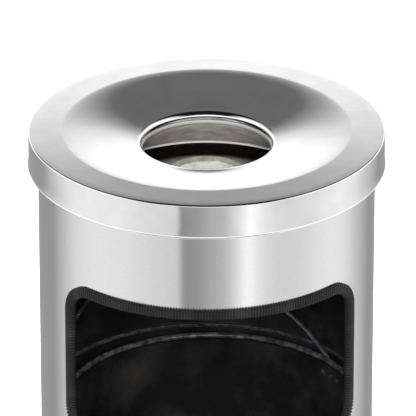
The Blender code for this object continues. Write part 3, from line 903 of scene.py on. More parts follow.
@dataclass
class SubAssembly:
    """What every sub-assembly shares: its finishes, its body, the sheet's thickness and the play between pieces."""

    finishes: Finishes
    rides: Rides = Rides.CASING
    gauge: float = 0.8 * MM
    gap: float = 0.3 * MM

    def dress(self, piece: Piece, look: Look, node: str | None = None, crisp: float = 35) -> None:
        """Finish a piece.

        Args:
            piece: the modelled piece.
            look: its material and slot.
            node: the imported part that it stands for, if any.
            crisp: the angle in degrees from which its edges stay sharp.
        """
        smooth(piece, crisp)
        piece.data.materials.clear()
        piece.data.materials.append(look.material)
        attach(piece, self.rides.value)
        if node:
            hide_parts(node)
        LOG.info("%s rides on %s with %d faces", piece.name, self.rides.value, len(piece.data.polygons))

    def rivet_hole(self, rivet: Rivet, spot: Spot) -> Piece:
        """A cutter for a rivet's hole."""
        return drill(rivet.shank + self.gap / 2, spot)

    def rivet(self, node: str, rivet: Rivet, grip: float, spot: Spot, look: Look) -> None:
        """Model a blind rivet: domed head, shank and the set end on the far side of the sheets.

        Args:
            node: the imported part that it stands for.
            rivet: its sizes.
            grip: the thickness of what it holds.
            spot: where the shank meets the outer sheet, and the direction outwards.
            look: its material and slot.
        """
        outside, behind = self.gap / 2, -grip - self.gap * 1.5
        head, dome = rivet.head, rivet.dome
        top = arc((0, outside), head, 90, 10, 8)
        crown = [(r, outside + (z - outside) * dome / head) for r, z in top if r > head * 0.02]
        outline = [*crown, (head, outside), (rivet.shank, outside), (rivet.shank, behind), (head * 0.8, behind)]
        outline += [(head * 0.78, behind - dome * 0.6), (head * 0.5, behind - dome), (0, behind - dome)]
        piece = turned(f"{node}_fine", list(reversed(outline))[1:], 28)
        self.cap(piece, outline[0], outside + dome)
        self.cap(piece, outline[-2], behind - dome)
        turn = Vector((0, 0, 1)).rotation_difference(spot[1]).to_matrix().to_4x4()
        placed(piece, Matrix.Translation(spot[0]) @ turn)
        self.dress(outward(piece), look, node, 40)

    @staticmethod
    def cap(piece: Piece, ring: tuple[float, float], pole: float) -> None:
        """Close an open end.

        Args:
            piece: the turned piece.
            ring: radius and height of its end ring.
            pole: the height of the point that closes it.
        """
        with editing(piece, "DESELECT"):
            bpy.ops.mesh.select_mode(type="VERT")
        for vert in piece.data.vertices:
            vert.select = abs(vert.co.z - ring[1]) < 0.001 * MM and abs(vert.co.xy.length - ring[0]) < 0.01 * MM
        with editing(piece, None):
            bpy.ops.mesh.extrude_edges_move(TRANSFORM_OT_translate={"value": (0, 0, pole - ring[1])})
            bpy.ops.mesh.merge(type="CENTER")


@dataclass
class Lid(SubAssembly):
    """Spun lid: skirt with a hemmed edge, flat ring, shallow funnel and the hole's turned-down lip."""

    rides: Rides = Rides.LID
    segments: int = 224
    top: float = 620 * MM
    radius: float = 129.4 * MM
    hole: float = 47.4 * MM
    lip_round: float = 4.0 * MM
    lip_end: float = 605.4 * MM
    lip_straight: float = 1.6 * MM
    crease: float = 106.0 * MM
    crease_dip: float = 0.05 * MM
    dish: float = 9.0 * MM
    funnel_rings: int = 34
    edge_round: float = 1.5 * MM
    ring_fall: float = 0.9 * MM
    skirt: float = 27.3 * MM
    skirt_rings: int = 4
    hem: float = 0.75 * MM
    hem_rise: float = 2.4 * MM
    hem_flare: float = 0.55 * MM

    def funnel(self, radius: float) -> float:
        """Height of the funnel's upper face at a radius."""
        share = (self.crease - radius) / (self.crease - self.hole - self.lip_round)
        return self.top - self.dish * max(share, 0.0) ** 1.5

    def outline(self) -> Profile:
        """The outer face from the lip's end over the top to the hem."""
        lip = self.hole + self.lip_round
        reach = (self.crease - 2 * MM - lip) / self.funnel_rings
        points = [(self.hole, self.lip_end), (self.hole, self.lip_end + 0.75 * self.lip_straight)]
        points += arc((lip, self.lip_end + self.lip_straight), self.lip_round, 180, 98, 12)
        points += [(lip + reach * i, self.funnel(lip + reach * i)) for i in range(1, self.funnel_rings + 1)]
        points += [(self.crease - 0.8 * MM, self.top - 0.02 * MM), (self.crease, self.top - self.crease_dip)]
        edge, level, low = self.radius - self.edge_round, self.top - self.ring_fall, self.top - self.skirt
        run, rise = edge - self.crease, self.ring_fall - self.crease_dip
        points += [(edge - run * share, level + rise * share) for share in (0.75, 0.5, 0.25)]
        side = level - self.edge_round
        points += arc((edge, side), self.edge_round, 90, 0, 10)
        drop = (side - low - self.hem_rise) / self.skirt_rings
        points += [(self.radius, side - drop * i) for i in range(1, self.skirt_rings + 1)]
        return points + arc((self.radius - self.hem + self.hem_flare, low + self.hem), self.hem, 50, -90, 9)

    def build(self) -> None:
        """Model the cover."""
        cover = turned("lid_cover_fine", self.outline(), self.segments)
        self.dress(sheet(cover, self.gauge), self.finishes.polished, "lid_cover", 40)


@dataclass
class Damper(SubAssembly):
    """Flame damper: a cone under the hole, its rolled rim, and three strips riveted to it."""

    rides: Rides = Rides.LID
    segments: int = 176
    top_radius: float = 47.4 * MM
    top: float = 605.1 * MM
    collar: float = 2.0 * MM
    rim_radius: float = 86.0 * MM
    rim_height: float = 571.0 * MM
    bead: float = 1.1 * MM
    cone_gauge: float = 0.72 * MM
    strip_width: float = 14.0 * MM
    strip_gauge: float = 1.2 * MM
    strip_bend: float = 1.2 * MM
    strip_ease: float = 0.35 * MM
    strip_foot: float = 10.0 * MM
    strip_radius: float = 70.0 * MM
    strip_count: int = 3
    rivets: Rivet = Rivet()
    rivet_share: float = 0.62

    @property
    def start(self) -> float:
        """Height where the cone starts under its collar."""
        return self.top - self.collar

    @property
    def down(self) -> Vector:
        """Unit vector down the cone's face, as (radius, height)."""
        return Vector((self.rim_radius - self.top_radius, self.rim_height - self.start)).normalized()

    def height(self, radius: float) -> float:
        """Height of the cone's outer face at a radius."""
        share = (radius - self.top_radius) / (self.rim_radius - self.top_radius)
        return self.start - share * (self.start - self.rim_height)

    def headings(self) -> list[float]:
        """Where the strips stand."""
        return [-math.pi / 2 + math.tau * number / self.strip_count for number in range(self.strip_count)]

    def rivet_spot(self, heading: float) -> Spot:
        """A strip rivet's place on the strip's face, and its direction out of it."""
        out = Vector((-self.down.y, self.down.x))
        radius = self.strip_radius + self.strip_foot * self.rivet_share * self.down.x
        flat = Vector((radius, self.height(radius))) + out * (self.gap + self.strip_gauge)
        return standing(heading, *flat), standing(heading, *out)

    def cone(self) -> None:
        """The cone, with the rivets' holes."""
        inner = self.top_radius
        outline = [(inner, self.top), (inner, self.start + 0.6 * MM), (inner + 0.5 * MM, self.start - 0.3 * MM)]
        reached = [inner + (self.rim_radius - inner) * share for share in (0.2, 0.4, 0.6, 0.8, 0.94)]
        outline += [(radius, self.height(radius)) for radius in reached]
        outline += arc((self.rim_radius, self.rim_height - self.bead), self.bead, 75, -150, 12)
        piece = sheet(turned("damper_cone_fine", outline, self.segments), self.cone_gauge)
        cut(piece, [self.rivet_hole(self.rivets, self.rivet_spot(heading)) for heading in self.headings()])
        self.dress(piece, self.finishes.smoked, "damper_cone", 40)

    def strip(self, number: int, heading: float, lid: Lid) -> None:
        """One strip: welded under the funnel, bent down and riveted on the cone.

        Args:
            number: the strip's number.
            heading: where it stands.
            lid: the lid that it hangs under.
        """
        outer, inner = self.strip_radius, self.strip_radius - self.strip_foot
        corner = Vector((outer, self.height(outer) + self.gap / self.down.x))
        under = lid.gauge + self.strip_gauge + 2 * self.gap
        points = filleted([(inner, lid.funnel(inner) - under, 0), (outer, lid.funnel(outer) - under, self.strip_bend),
                           (*corner, self.strip_bend), (*(corner + self.down * self.strip_foot), 0)], 4)
        path = [standing(heading, *point) for point in points]
        half, thick, ease = self.strip_width / 2, self.strip_gauge, self.strip_ease
        section = [(-half, ease), (-half + ease, 0), (half - ease, 0), (half, ease), (half, thick - ease),
                   (half - ease, thick), (-half + ease, thick), (-half, thick - ease)]
        piece = wired(f"damper_bracket_{number}_fine", section, path, compass(heading - math.pi / 2))
        cut(piece, [self.rivet_hole(self.rivets, self.rivet_spot(heading))])
        self.dress(piece, self.finishes.galvanised, f"damper_bracket_{number}")

    def build(self, lid: Lid) -> None:
        """Model the cone, its strips and their rivets."""
        self.cone()
        grip = self.strip_gauge + self.gap + self.gauge
        for number, heading in enumerate(self.headings(), 1):
            self.strip(number, heading, lid)
            self.rivet(f"damper_rivet_{number}", self.rivets, grip, self.rivet_spot(heading), self.finishes.rivet)


@dataclass
class AshPan(SubAssembly):
    """Pressed pan on the body's top edge, with a raised plateau and a ring for stubbing out."""

    rides: Rides = Rides.TRAY
    segments: int = 200
    lid_top: float = 620 * MM
    top: float = 618.0 * MM
    skirt: float = 12.0 * MM
    skirt_radius: float = 128.0 * MM
    tub: float = 119.9 * MM
    tub_foot: float = 110.3 * MM
    bend: float = 1.5 * MM
    heel: float = 6.0 * MM
    disc_radius: float = 27.1 * MM
    disc_drop: float = 38.5 * MM
    ring_radius: float = 29.8 * MM
    ring_drop: float = 35.7 * MM
    shoulder_radius: float = 32.0 * MM
    shoulder_drop: float = 37.5 * MM
    cone_radius: float = 86.0 * MM
    cone_drop: float = 60.5 * MM
    cone_round: float = 30.0 * MM
    depth: float = 64.0 * MM

    def outline(self) -> Profile:
        """The upper face from the skirt's lower edge to the middle of the plateau."""
        edge = [(self.skirt_radius, self.top - self.skirt, 0), (self.skirt_radius, self.top, self.bend),
                (self.tub, self.top, self.bend)]
        drops = [(self.tub_foot, self.depth, self.heel), (self.cone_radius, self.cone_drop, self.cone_round),
                 (self.shoulder_radius, self.shoulder_drop, 2.0 * MM), (self.ring_radius, self.ring_drop, 0.9 * MM),
                 (self.disc_radius, self.disc_drop, 1.0 * MM), (0.0, self.disc_drop, 0)]
        inside = [(radius, self.lid_top - drop, fillet) for radius, drop, fillet in drops]
        return subdivided(filleted(edge + inside, 6), 7 * MM)

    def build(self) -> None:
        """Model the pan."""
        pan = turned("ash_pan_fine", self.outline(), self.segments)
        self.dress(sheet(pan, self.gauge), self.finishes.stained, "ash_pan", 40)


@dataclass
class Casing(SubAssembly):
    """The tube with its window, the guide hoop inside it and the lap seam at the back."""

    segments: int = 192
    radius: float = 122.5 * MM
    top: float = 616.9 * MM
    bottom: float = 3.3 * MM
    top_ease: float = 0.2 * MM
    window_low: float = 412 * MM
    window_high: float = 530 * MM
    window_half_angle: float = math.radians(55.5)
    window_corner: float = 21.0 * MM
    window_heading: float = math.radians(-88.0)
    hoop_height: float = 3.0 * MM
    hoop_thickness: float = 1.6 * MM
    hoop_round: float = 0.7 * MM
    hoop_level: float = 400.5 * MM
    hoop_split: float = 3.0 * MM
    seam_low: float = 30.0 * MM
    seam_high: float = 552.0 * MM
    seam_width: float = 9.0 * MM
    seam_gauge: float = 0.35 * MM
    rivets: Rivet = Rivet(2.0 * MM, 3.6 * MM, 1.1 * MM)
    rivet_count: int = 4
    rivet_level: float = 17.6 * MM

    @property
    def inner(self) -> float:
        """Radius of the wall's inner face."""
        return self.radius - self.gauge

    @property
    def half_width(self) -> float:
        """Half the window's width along the wall."""
        return self.window_half_angle * self.radius

    def rivet_spots(self) -> list[Spot]:
        """The base rivets' places and directions."""
        start = self.window_heading + math.pi / 2
        headings = [math.tau * (number + 0.5) / self.rivet_count + start for number in range(self.rivet_count)]
        return [(standing(heading, self.radius, self.rivet_level), compass(heading)) for heading in headings]

    def window_cutter(self) -> Piece:
        """A rounded slab bent round the wall."""
        height = self.window_high - self.window_low
        slab = block("window_slab", (2 * self.half_width, THROUGH, height), (0, 0, self.window_low + height / 2))
        round_edges(slab, 1, self.window_corner, 12)
        sliced(slab, 4 * MM)
        return bent(slab, self.radius, self.window_heading)

    def tube(self) -> None:
        """The tube: satin outside, lacquered inside."""
        above, below = self.window_high, self.window_low
        levels = [above + 8 * MM, above - 30 * MM, below + 30 * MM, below - 8 * MM, 200 * MM]
        outside = [(self.radius - self.top_ease, self.top), (self.radius, self.top - self.top_ease)]
        outside += [(self.radius, level) for level in (*levels, self.bottom)]
        inside = [(self.inner, level) for level in (self.bottom, *reversed(levels), self.top)]
        piece = turned("body_shell_fine", outside + inside, self.segments, closed=True)
        cut(piece, [self.window_cutter(), *(self.rivet_hole(self.rivets, spot) for spot in self.rivet_spots())])
        self.dress(piece, self.finishes.satin, "body_shell", 30)
        piece.data.materials.append(self.finishes.lacquer.material)
        for face in piece.data.polygons:
            middle = Vector((face.center.x, face.center.y, 0))
            if face.normal.dot(middle) < -0.5 * middle.length:
                face.material_index = 1

    def hoop(self) -> None:
        """Flat hoop inside the wall, split at the seam."""
        outer, curl = self.inner - self.gap, self.hoop_round
        lip = outer - self.hoop_thickness + curl
        low, high = self.hoop_level - self.hoop_height / 2, self.hoop_level + self.hoop_height / 2
        outline = [(outer, low), (lip, low), *arc((lip, low + curl), curl, -110, -180, 4)]
        outline += [*arc((lip, high - curl), curl, 180, 100, 4), (outer, high)]
        piece = turned("guide_hoop_fine", outline, self.segments, closed=True)
        seam = self.window_heading + math.pi
        cut(piece, [drill(self.hoop_split / 2, (standing(seam, outer, self.hoop_level), compass(seam)), 20 * MM)])
        self.dress(piece, self.finishes.wire, "guide_hoop", 40)

    def build(self) -> None:
        """Model the tube and what is fixed inside it, with its lap between the floor plate and the pan."""
        self.tube()
        self.hoop()
        strip = lap("back_seam", (self.seam_width, self.seam_gauge), (self.seam_low, self.seam_high), 0.15 * MM,
                    self.inner - 0.02 * MM, self.window_heading + math.pi)
        self.dress(strip, self.finishes.lacquer, crisp=30)


@dataclass
class WindowTrim(SubAssembly):
    """Ribbed edge strip with a U section, pushed over the sheet all round the window."""

    pitch: float = 2.1 * MM
    cover: float = 3.3 * MM
    nose: float = 3.5 * MM
    leg: float = 1.5 * MM
    groove: float = 0.8
    merge: float = 0.02 * MM

    def section(self, wall: float) -> Profile:
        """The U's corners as (into the opening, out of the wall)."""
        out, into, mid = self.gap + self.leg, -wall - self.gap - self.leg, -wall / 2
        return [(-self.cover, self.gap), (-self.cover, out - 0.5 * MM), (-self.cover + 0.6 * MM, out),
                (self.nose - 2.0 * MM, out), (self.nose - 0.6 * MM, out - 0.7 * MM), (self.nose, mid + 0.5 * MM),
                (self.nose, mid - 0.5 * MM), (self.nose - 0.6 * MM, into + 0.7 * MM), (self.nose - 2.0 * MM, into),
                (-self.cover + 0.6 * MM, into), (-self.cover, into + 0.5 * MM), (-self.cover, -wall - self.gap),
                (self.gap, -wall - self.gap), (self.gap, self.gap)]

    @staticmethod
    def edge(casing: Casing) -> tuple[PlaceAt, float]:
        """The window's edge, unrolled.

        Args:
            casing: the tube with the window.

        Returns:
            Places on the edge by the distance round it, and its whole length.
        """
        corner = casing.window_corner
        half, low, high = casing.half_width, casing.window_low, casing.window_high
        level, upright, bend = 2 * (half - corner), high - low - 2 * corner, corner * math.pi / 2
        legs = [((corner - half, low), 0, level), ((half, low + corner), 90, upright),
                ((half - corner, high), 180, level), ((-half, high - corner), 270, upright)]
        out = Vector((0, -1, 0))

        def place(distance: float) -> tuple[Vector, Vector, Vector]:
            """The flat point, the way into the opening and the way out of the wall."""
            rest = distance
            for (x, z), turn, length in legs:
                angle = math.radians(turn)
                run = Vector((math.cos(angle), 0, math.sin(angle)))
                into = Vector((-math.sin(angle), 0, math.cos(angle)))
                if rest <= length:
                    return Vector((x, 0, z)) + run * rest, into, out
                rest -= length
                if rest <= bend:
                    centre = Vector((x, 0, z)) + run * length + into * corner
                    aim = into * math.cos(rest / corner) - run * math.sin(rest / corner)
                    return centre - aim * corner, aim, out
                rest -= bend
            return place(rest)

        return place, 2 * (level + upright) + 4 * bend

    def build(self, casing: Casing) -> None:
        """Model one rib, repeat it round the window and bend the strip on to the wall."""
        place, length = self.edge(casing)
        count = round(length / self.pitch)
        pitch = length / count
        steps = ((0.0, self.groove), (0.16, 1.0), (0.62, 1.0), (0.78, self.groove), (1.0, self.groove))
        rib = [(share * pitch, size) for share, size in steps]
        piece = bar("window_trim_fine", self.section(casing.gauge), rib, capped=False)
        ribs = piece.modifiers.new("ribs", "ARRAY")
        ribs.count = count
        ribs.use_relative_offset = False
        ribs.use_constant_offset = True
        ribs.constant_offset_displace = (pitch, 0, 0)
        ribs.use_merge_vertices = True
        ribs.merge_threshold = self.merge
        apply_all(piece)
        for vert in piece.data.vertices:
            if not self.merge <= vert.co.x <= length - self.merge:
                vert.co.x = 0.0
        follow(piece, place)
        bent(piece, casing.radius, casing.window_heading)
        self.dress(piece, self.finishes.rubber, "window_trim", 25)


@dataclass
class Foot(SubAssembly):
    """Floor plate riveted in the tube, and the rubber ring on the tube's lower edge."""

    segments: int = 176
    plate_top: float = 23.0 * MM
    plate_gauge: float = 1.0 * MM
    flange: float = 12.0 * MM
    bend: float = 2.0 * MM
    step: float = 1.4 * MM
    step_in: float = 22.0 * MM
    ring_outer: float = 14.0 * MM
    ring_inner: float = 9.0 * MM
    ring_wall: float = 2.2 * MM
    ring_sole: float = 3.0 * MM
    crown: float = 0.9 * MM

    def plate(self, casing: Casing) -> None:
        """Pressed plate with a stiffening step and a turned-down flange."""
        outer, high, low, soft = casing.inner - self.gap, self.plate_top, self.plate_top - self.step, 1.2 * MM
        inner = outer - self.step_in
        corners = [(outer, high - self.flange, 0), (outer, high, self.bend), (inner, high, soft),
                   (inner - 2 * MM, low, soft), (0, low, 0)]
        outline = subdivided(filleted(corners, 5), PANEL)
        piece = sheet(turned("base_plate_fine", outline, self.segments), self.plate_gauge)
        cut(piece, [self.rivet_hole(casing.rivets, spot) for spot in casing.rivet_spots()])
        self.dress(piece, self.finishes.galvanised, "base_plate")

    def ring(self, casing: Casing) -> None:
        """Rubber ring: rounded outer lip, sole and inner lip."""
        outer, inner, crown = casing.radius + self.gap, casing.inner - self.gap, self.crown
        out, into = outer + self.ring_wall - crown, inner - self.ring_wall + crown
        outline = [(outer, self.ring_outer), *arc((out, self.ring_outer - crown), crown, 80, 0, 5)]
        outline += [(out + crown, 4 * MM), *arc((out, crown), crown, 0, -90, 5)]
        outline += arc((into, crown), crown, -90, -180, 5)
        outline += arc((into, self.ring_inner - crown), crown, 180, 100, 4)
        outline += [(inner, self.ring_inner), (inner, self.ring_sole), (outer, self.ring_sole)]
        piece = turned("base_ring_fine", outline, self.segments, closed=True)
        self.dress(piece, self.finishes.rubber, "base_ring")

    def build(self, casing: Casing) -> None:
        """Model the plate, the ring and the four rivets."""
        self.plate(casing)
        self.ring(casing)
        grip = casing.gauge + self.gap + self.plate_gauge
        for number, spot in enumerate(casing.rivet_spots(), 1):
            self.rivet(f"base_rivet_{number}", casing.rivets, grip, spot, self.finishes.rivet)


@dataclass
class InnerBin(SubAssembly):
    """Lift-out sheet bin: lapped shell, flanged base, rolled rim with its joint, ears and their rivets."""

    rides: Rides = Rides.BIN
    segments: int = 176
    centre_x: float = 4.0 * MM
    radius: float = 108.6 * MM
    floor: float = 23.3 * MM
    taper: float = 3.6 * MM
    top: float = 395.0 * MM
    straight: float = 32.0 * MM
    rim_level: float = 397.5 * MM
    rim_wire: float = 2.2 * MM
    rim_slit: float = 0.5 * MM
    base_raise: float = 6.0 * MM
    base_flange: float = 5.0 * MM
    base_step: float = 1.2 * MM
    base_step_in: float = 14.0 * MM
    lap_heading: float = math.radians(137)
    lap_width: float = 8.0 * MM
    lap_gauge: float = 0.5 * MM
    pivot: float = 387.5 * MM
    heading: float = math.radians(34.2)
    ear_length: float = 28.0 * MM
    ear_height: float = 13.0 * MM
    ear_gauge: float = 1.2 * MM
    ear_round: float = 0.32
    ear_rivet_spread: float = 9.0 * MM
    rivets: Rivet = Rivet()
    pin_hole: float = 2.05 * MM

    @property
    def shift(self) -> Matrix:
        """From the object's axis to the bin's own."""
        return Matrix.Translation((self.centre_x, 0, 0))

    @property
    def spread(self) -> float:
        """The angle between the bail's end and an ear rivet."""
        return self.ear_rivet_spread / self.radius

    def ears(self) -> list[tuple[str, float]]:
        """Each ear's name and heading."""
        return [("right", self.heading), ("left", self.heading + math.pi)]

    def ear_spot(self, heading: float, reach: float) -> Spot:
        """A place on the bail's level at a heading and a distance from the bin's axis, and the way out."""
        return standing(heading, reach, self.pivot, self.centre_x), compass(heading)

    def holes(self) -> list[Piece]:
        """Cutters for the bail's ends and the ear rivets."""
        made = []
        for _, heading in self.ears():
            for turn in (-self.spread, 0.0, self.spread):
                spot = self.ear_spot(heading + turn, self.radius)
                made.append(self.rivet_hole(self.rivets, spot) if turn else drill(self.pin_hole, spot))
        return made

    def shell(self) -> None:
        """The shell, straight at the top and tapered below, with its riveting holes."""
        outline = [(self.radius - self.taper, self.floor), (self.radius, self.top - self.straight),
                   (self.radius, self.top - 14 * MM), (self.radius, self.top)]
        piece = sheet(turned("inner_bin_shell_fine", outline, self.segments), self.gauge)
        cut(placed(piece, self.shift), self.holes())
        self.dress(piece, self.finishes.lacquer, "inner_bin_shell")

    def lap(self) -> None:
        """The shell's lap joint, seen inside as a narrow second thickness."""
        size, levels = (self.lap_width, self.lap_gauge), (self.top - self.straight + 1 * MM, self.top - 1 * MM)
        strip = lap("bin_lap", size, levels, 0.2 * MM, self.radius - self.gauge, self.lap_heading)
        self.dress(placed(strip, self.shift), self.finishes.lacquer, crisp=30)

    def base(self) -> None:
        """Bottom disc with a turned-down flange and a shallow stiffening ring."""
        outer, top = self.radius - self.taper - self.gauge - self.gap, self.floor + self.base_raise
        low, soft = top - self.base_step, 0.8 * MM
        corners = [(outer, top - self.base_flange, 0), (outer, top, 1 * MM), (outer - self.base_step_in, top, soft),
                   (outer - self.base_step_in - 2 * MM, low, soft), (0, low, 0)]
        outline = subdivided(filleted(corners, 4), PANEL)
        piece = sheet(turned("inner_bin_base_fine", outline, self.segments), self.gauge)
        self.dress(placed(piece, self.shift), self.finishes.lacquer, "inner_bin_base")

    def rim(self) -> None:
        """Rolled rim with a saw cut where its ends meet."""
        outline = arc((self.radius + self.gauge, self.rim_level), self.rim_wire, 90, -270, 20)[:-1]
        piece = placed(turned("inner_bin_rim_fine", outline, self.segments, closed=True), self.shift)
        slit = block("rim_slit", (self.rim_slit, THROUGH, THROUGH))
        place = standing(self.lap_heading, self.radius, self.rim_level, self.centre_x)
        turn = Matrix.Rotation(self.lap_heading - math.pi / 2, 4, "Z")
        cut(piece, [placed(slit, Matrix.Translation(place) @ turn)])
        self.dress(piece, self.finishes.rim, "inner_bin_rim", 40)

    def ear(self, label: str, heading: float) -> None:
        """One ear: a rounded plate bent to the wall, and its two rivets."""
        size = (self.ear_length, self.ear_gauge, self.ear_height)
        plate = block(f"bail_ear_{label}_fine", size, (0, -self.ear_gauge / 2, 0))
        round_edges(plate, 1, self.ear_height * self.ear_round, 7)
        sliced(plate, SLICE)
        bent(plate, self.radius + self.gap, heading)
        placed(plate, Matrix.Translation((self.centre_x, 0, self.pivot)))
        cut(plate, self.holes())
        self.dress(plate, self.finishes.wire, f"bail_ear_{label}")
        grip = self.ear_gauge + self.gap + self.gauge
        for number, turn in enumerate((-self.spread, self.spread), 1):
            spot = self.ear_spot(heading + turn, self.radius + self.gap + self.ear_gauge)
            self.rivet(f"ear_rivet_{label}_{number}", self.rivets, grip, spot, self.finishes.wire)

    def build(self) -> None:
        """Model every piece of the bin."""
        self.shell()
        self.lap()
        self.base()
        self.rim()
        for label, heading in self.ears():
            self.ear(label, heading)


@dataclass
class Bail(SubAssembly):
    """Wire bail whose ends turn in through the ears."""

    rides: Rides = Rides.BAIL
    wire: float = 1.75 * MM
    corner: float = 3.0 * MM
    inside: float = 2.5 * MM
    clearance: float = 0.65 * MM
    lean: float = math.radians(53)
    rise: float = 1.1175

    def build(self, holder: InnerBin) -> None:
        """Bend a straight wire into the handle."""
        along = compass(holder.heading)
        up = compass(holder.heading + math.pi / 2) * math.sin(self.lean) + Vector((0, 0, 1)) * math.cos(self.lean)
        centre = Vector((holder.centre_x, 0, holder.pivot))
        end = holder.radius - holder.gauge - self.inside
        reach = holder.radius + holder.gauge + holder.rim_wire + self.clearance + self.wire
        side = [(end, 0.0)] + arc((reach - self.corner, self.corner), self.corner, -90, 0, 8)
        first = math.degrees(math.asin(self.corner / reach)) + 2.0
        bow = [(x, y * self.rise) for x, y in arc((0, 0), reach, first, 180 - first, 110)]
        flat = side + bow + [(-x, y) for x, y in reversed(side)]
        path = [centre + along * x + up * y for x, y in flat]
        wire = wired("bail_handle_fine", arc((0, 0), self.wire, 0, 360, 18)[:-1], path, along.cross(up))
        self.dress(wire, self.finishes.wire, "bail_handle", 40)


# ---- studio --------------------------------------------------------------------------------------
@dataclass(frozen=True)
class SoftLight:
    """A large round light that polished metal doesn't mirror."""

    name: str
    size: float
    power: float
    place: Triple

    def hang(self, aim: Vector) -> None:
        """Hang it in its place, facing a point."""
        light = bpy.data.lights.new(self.name, "AREA")
        light.shape = "DISK"
        light.size = self.size
        light.energy = self.power
        lamp = bpy.data.objects.new(self.name, light)
        lamp.location = self.place
        lamp.rotation_euler = (aim - Vector(self.place)).to_track_quat("-Z", "Y").to_euler()
        lamp.visible_glossy = False
        bpy.context.scene.collection.objects.link(lamp)


@dataclass(frozen=True)
class Surroundings:
    """What the metal mirrors: soft boxes and dark cloths, as brightness by direction.

    Below the horizon the brightness follows the compass, from the low band, in degrees from the front. Above it
    the brightness follows the angle over the top, from the high band, in degrees from the horizon at the back.
    """

    low_band: tuple[tuple[float, float], ...] = (
        (-180, 0.27), (-131, 0.27), (-114, 0.50), (-100, 0.67), (-88, 0.74), (-77, 0.75), (-57, 0.72), (-39, 0.645),
        (-19, 0.58), (-16, 0.235), (-6, 0.29), (3, 0.38), (11, 0.43), (19, 0.63), (28, 0.95), (36, 0.745), (45, 0.64),
        (54, 0.61), (63, 0.62), (73, 0.665), (84, 0.74), (96, 0.775), (109, 0.71), (125, 0.50), (146, 0.26),
        (180, 0.27))
    high_band: tuple[tuple[float, float], ...] = (
        (0, 1.0), (16, 1.0), (20, 0.87), (25, 0.645), (27.5, 0.45), (30, 0.30), (34, 0.125), (50, 0.125), (56, 0.01),
        (146, 0.01), (150, 0.95), (180, 1.0))
    low_gain: float = 1.38
    high_gain: float = 1.32
    side_glow: float = 1.3
    side_reach: tuple[float, float] = (0.5, 0.8)
    back_reach: tuple[float, float] = (0.75, 0.5)
    back_drop: float = 0.24
    join: tuple[float, float] = (-0.2, -0.1)

    def build(self) -> None:
        """Make the world; the camera itself sees plain white behind everything."""
        world = bpy.data.worlds.new("soft_studio")
        bpy.context.scene.world = world
        world.use_nodes = True
        world.cycles.sampling_method = "NONE"
        tree = world.node_tree

        def maths(operation: str, *values: Socket | float) -> Socket:
            """A number worked out from sockets and constants."""
            numbers = {index: value for index, value in enumerate(values) if isinstance(value, float)}
            sockets = {index: value for index, value in enumerate(values) if not isinstance(value, float)}
            return add(tree, "Math", {"operation": operation, **numbers}, sockets).outputs[0]

        def span(source: Socket, low: float, high: float) -> Socket:
            """How far a number is from low to high, 0 to 1."""
            return add(tree, "MapRange", {"From Min": low, "From Max": high}, {"Value": source}).outputs["Result"]

        def mixed(share: Socket, first: Socket, second: Socket | float) -> Socket:
            """Two brightnesses mixed by a share."""
            settings, sockets = {"data_type": "RGBA"}, {0: share, 6: first}
            if isinstance(second, float):
                settings[7] = (second, second, second, 1)
            else:
                sockets[7] = second
            return add(tree, "Mix", settings, sockets).outputs[2]

        aim = add(tree, "SeparateXYZ", {}, {"Vector": add(tree, "TexCoord", {}, {}).outputs["Generated"]})
        across, back, up = (aim.outputs[axis] for axis in "XYZ")
        compass_turn = maths("ARCTAN2", across, maths("MULTIPLY", back, -1.0))
        low_stops = [((angle + 180) / 360, glow) for angle, glow in self.low_band]
        low = ramp(tree, span(compass_turn, -math.pi, math.pi), low_stops)
        low = add(tree, "VectorMath", {"operation": "SCALE", "Scale": self.low_gain}, {0: low}).outputs[0]
        high_stops = [(angle / 180, glow * self.high_gain) for angle, glow in self.high_band]
        high = ramp(tree, span(maths("ARCTAN2", up, back), 0.0, math.pi), high_stops)
        high = mixed(span(maths("ABSOLUTE", across), *self.side_reach), high, self.side_glow)
        lowered = maths("MULTIPLY_ADD", span(back, *self.back_reach), -self.back_drop, up)
        glow = mixed(span(lowered, *self.join), low, high)
        seen = mixed(add(tree, "LightPath", {}, {}).outputs["Is Camera Ray"], glow, 1.0)
        tree.links.new(seen, tree.nodes["Background"].inputs["Color"])


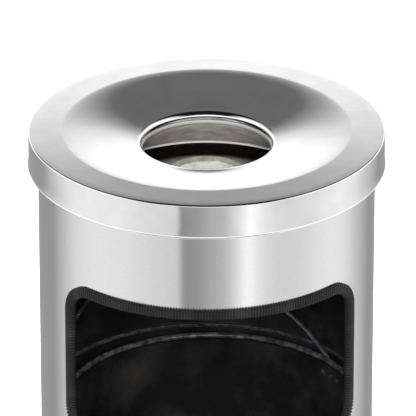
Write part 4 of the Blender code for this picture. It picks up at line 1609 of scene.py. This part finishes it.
@dataclass(frozen=True)
class Studio:
    """Pale floor, soft surroundings and a long lens looking down on the lid."""

    floor_size: float = 400.0
    floor_lit: tuple[float, float] = (1.5, 6.0)
    floor_colour: str = "f6f6f5"
    middle: Triple = (0, 0, 0.5)
    lens: float = 510.4
    place: Triple = (0.001, -3.883, 2.404)
    pitch: float = 25.45
    overhead: SoftLight = SoftLight("overhead", 6.0, 520.0, (0, -1.0, 5.0))
    front: SoftLight = SoftLight("front", 0.9, 170.0, (0, -2.2, 1.62))

    def floor(self) -> None:
        """A plain pale floor, as bright far away as it is beside the object."""
        deselect()
        bpy.ops.mesh.primitive_plane_add(size=self.floor_size)
        plane = named("studio_floor")
        mix = Mix.start("pale_floor", {"Emission Color": (1, 1, 1, 1), "Roughness": 0.9, "Specular IOR Level": 0.1})
        away = mix.span(mix.radius(), *self.floor_lit)
        mix.feed(Base_Color=mix.blend(away, self.floor_colour, "000000"), Emission_Strength=away)
        plane.data.materials.append(mix.material)
        plane.visible_glossy = False

    def camera(self) -> None:
        """The camera, level across and tilted down."""
        eye = bpy.data.cameras.new("eye")
        eye.lens = self.lens
        eye.sensor_width = 36
        eye.clip_end = 1000
        stand = bpy.data.objects.new("eye", eye)
        stand.location = self.place
        stand.rotation_euler = (math.radians(90 - self.pitch), 0, 0)
        bpy.context.scene.collection.objects.link(stand)
        bpy.context.scene.camera = stand

    def build(self) -> None:
        """Set the whole studio."""
        self.floor()
        Surroundings().build()
        for light in (self.overhead, self.front):
            light.hang(Vector(self.middle))
        self.camera()
        bpy.context.scene.view_settings.view_transform = "Standard"


def main() -> None:
    """Build the sub-assemblies in order, then the studio."""
    logging.basicConfig(level=logging.INFO, format="%(name)s: %(message)s")
    finishes = Finishes()
    lid, casing, inner_bin = Lid(finishes), Casing(finishes), InnerBin(finishes)
    lid.build()
    Damper(finishes).build(lid)
    AshPan(finishes).build()
    casing.build()
    WindowTrim(finishes).build(casing)
    Foot(finishes).build(casing)
    inner_bin.build()
    Bail(finishes).build(inner_bin)
    Studio().build()


if __name__ == "__main__":
    main()
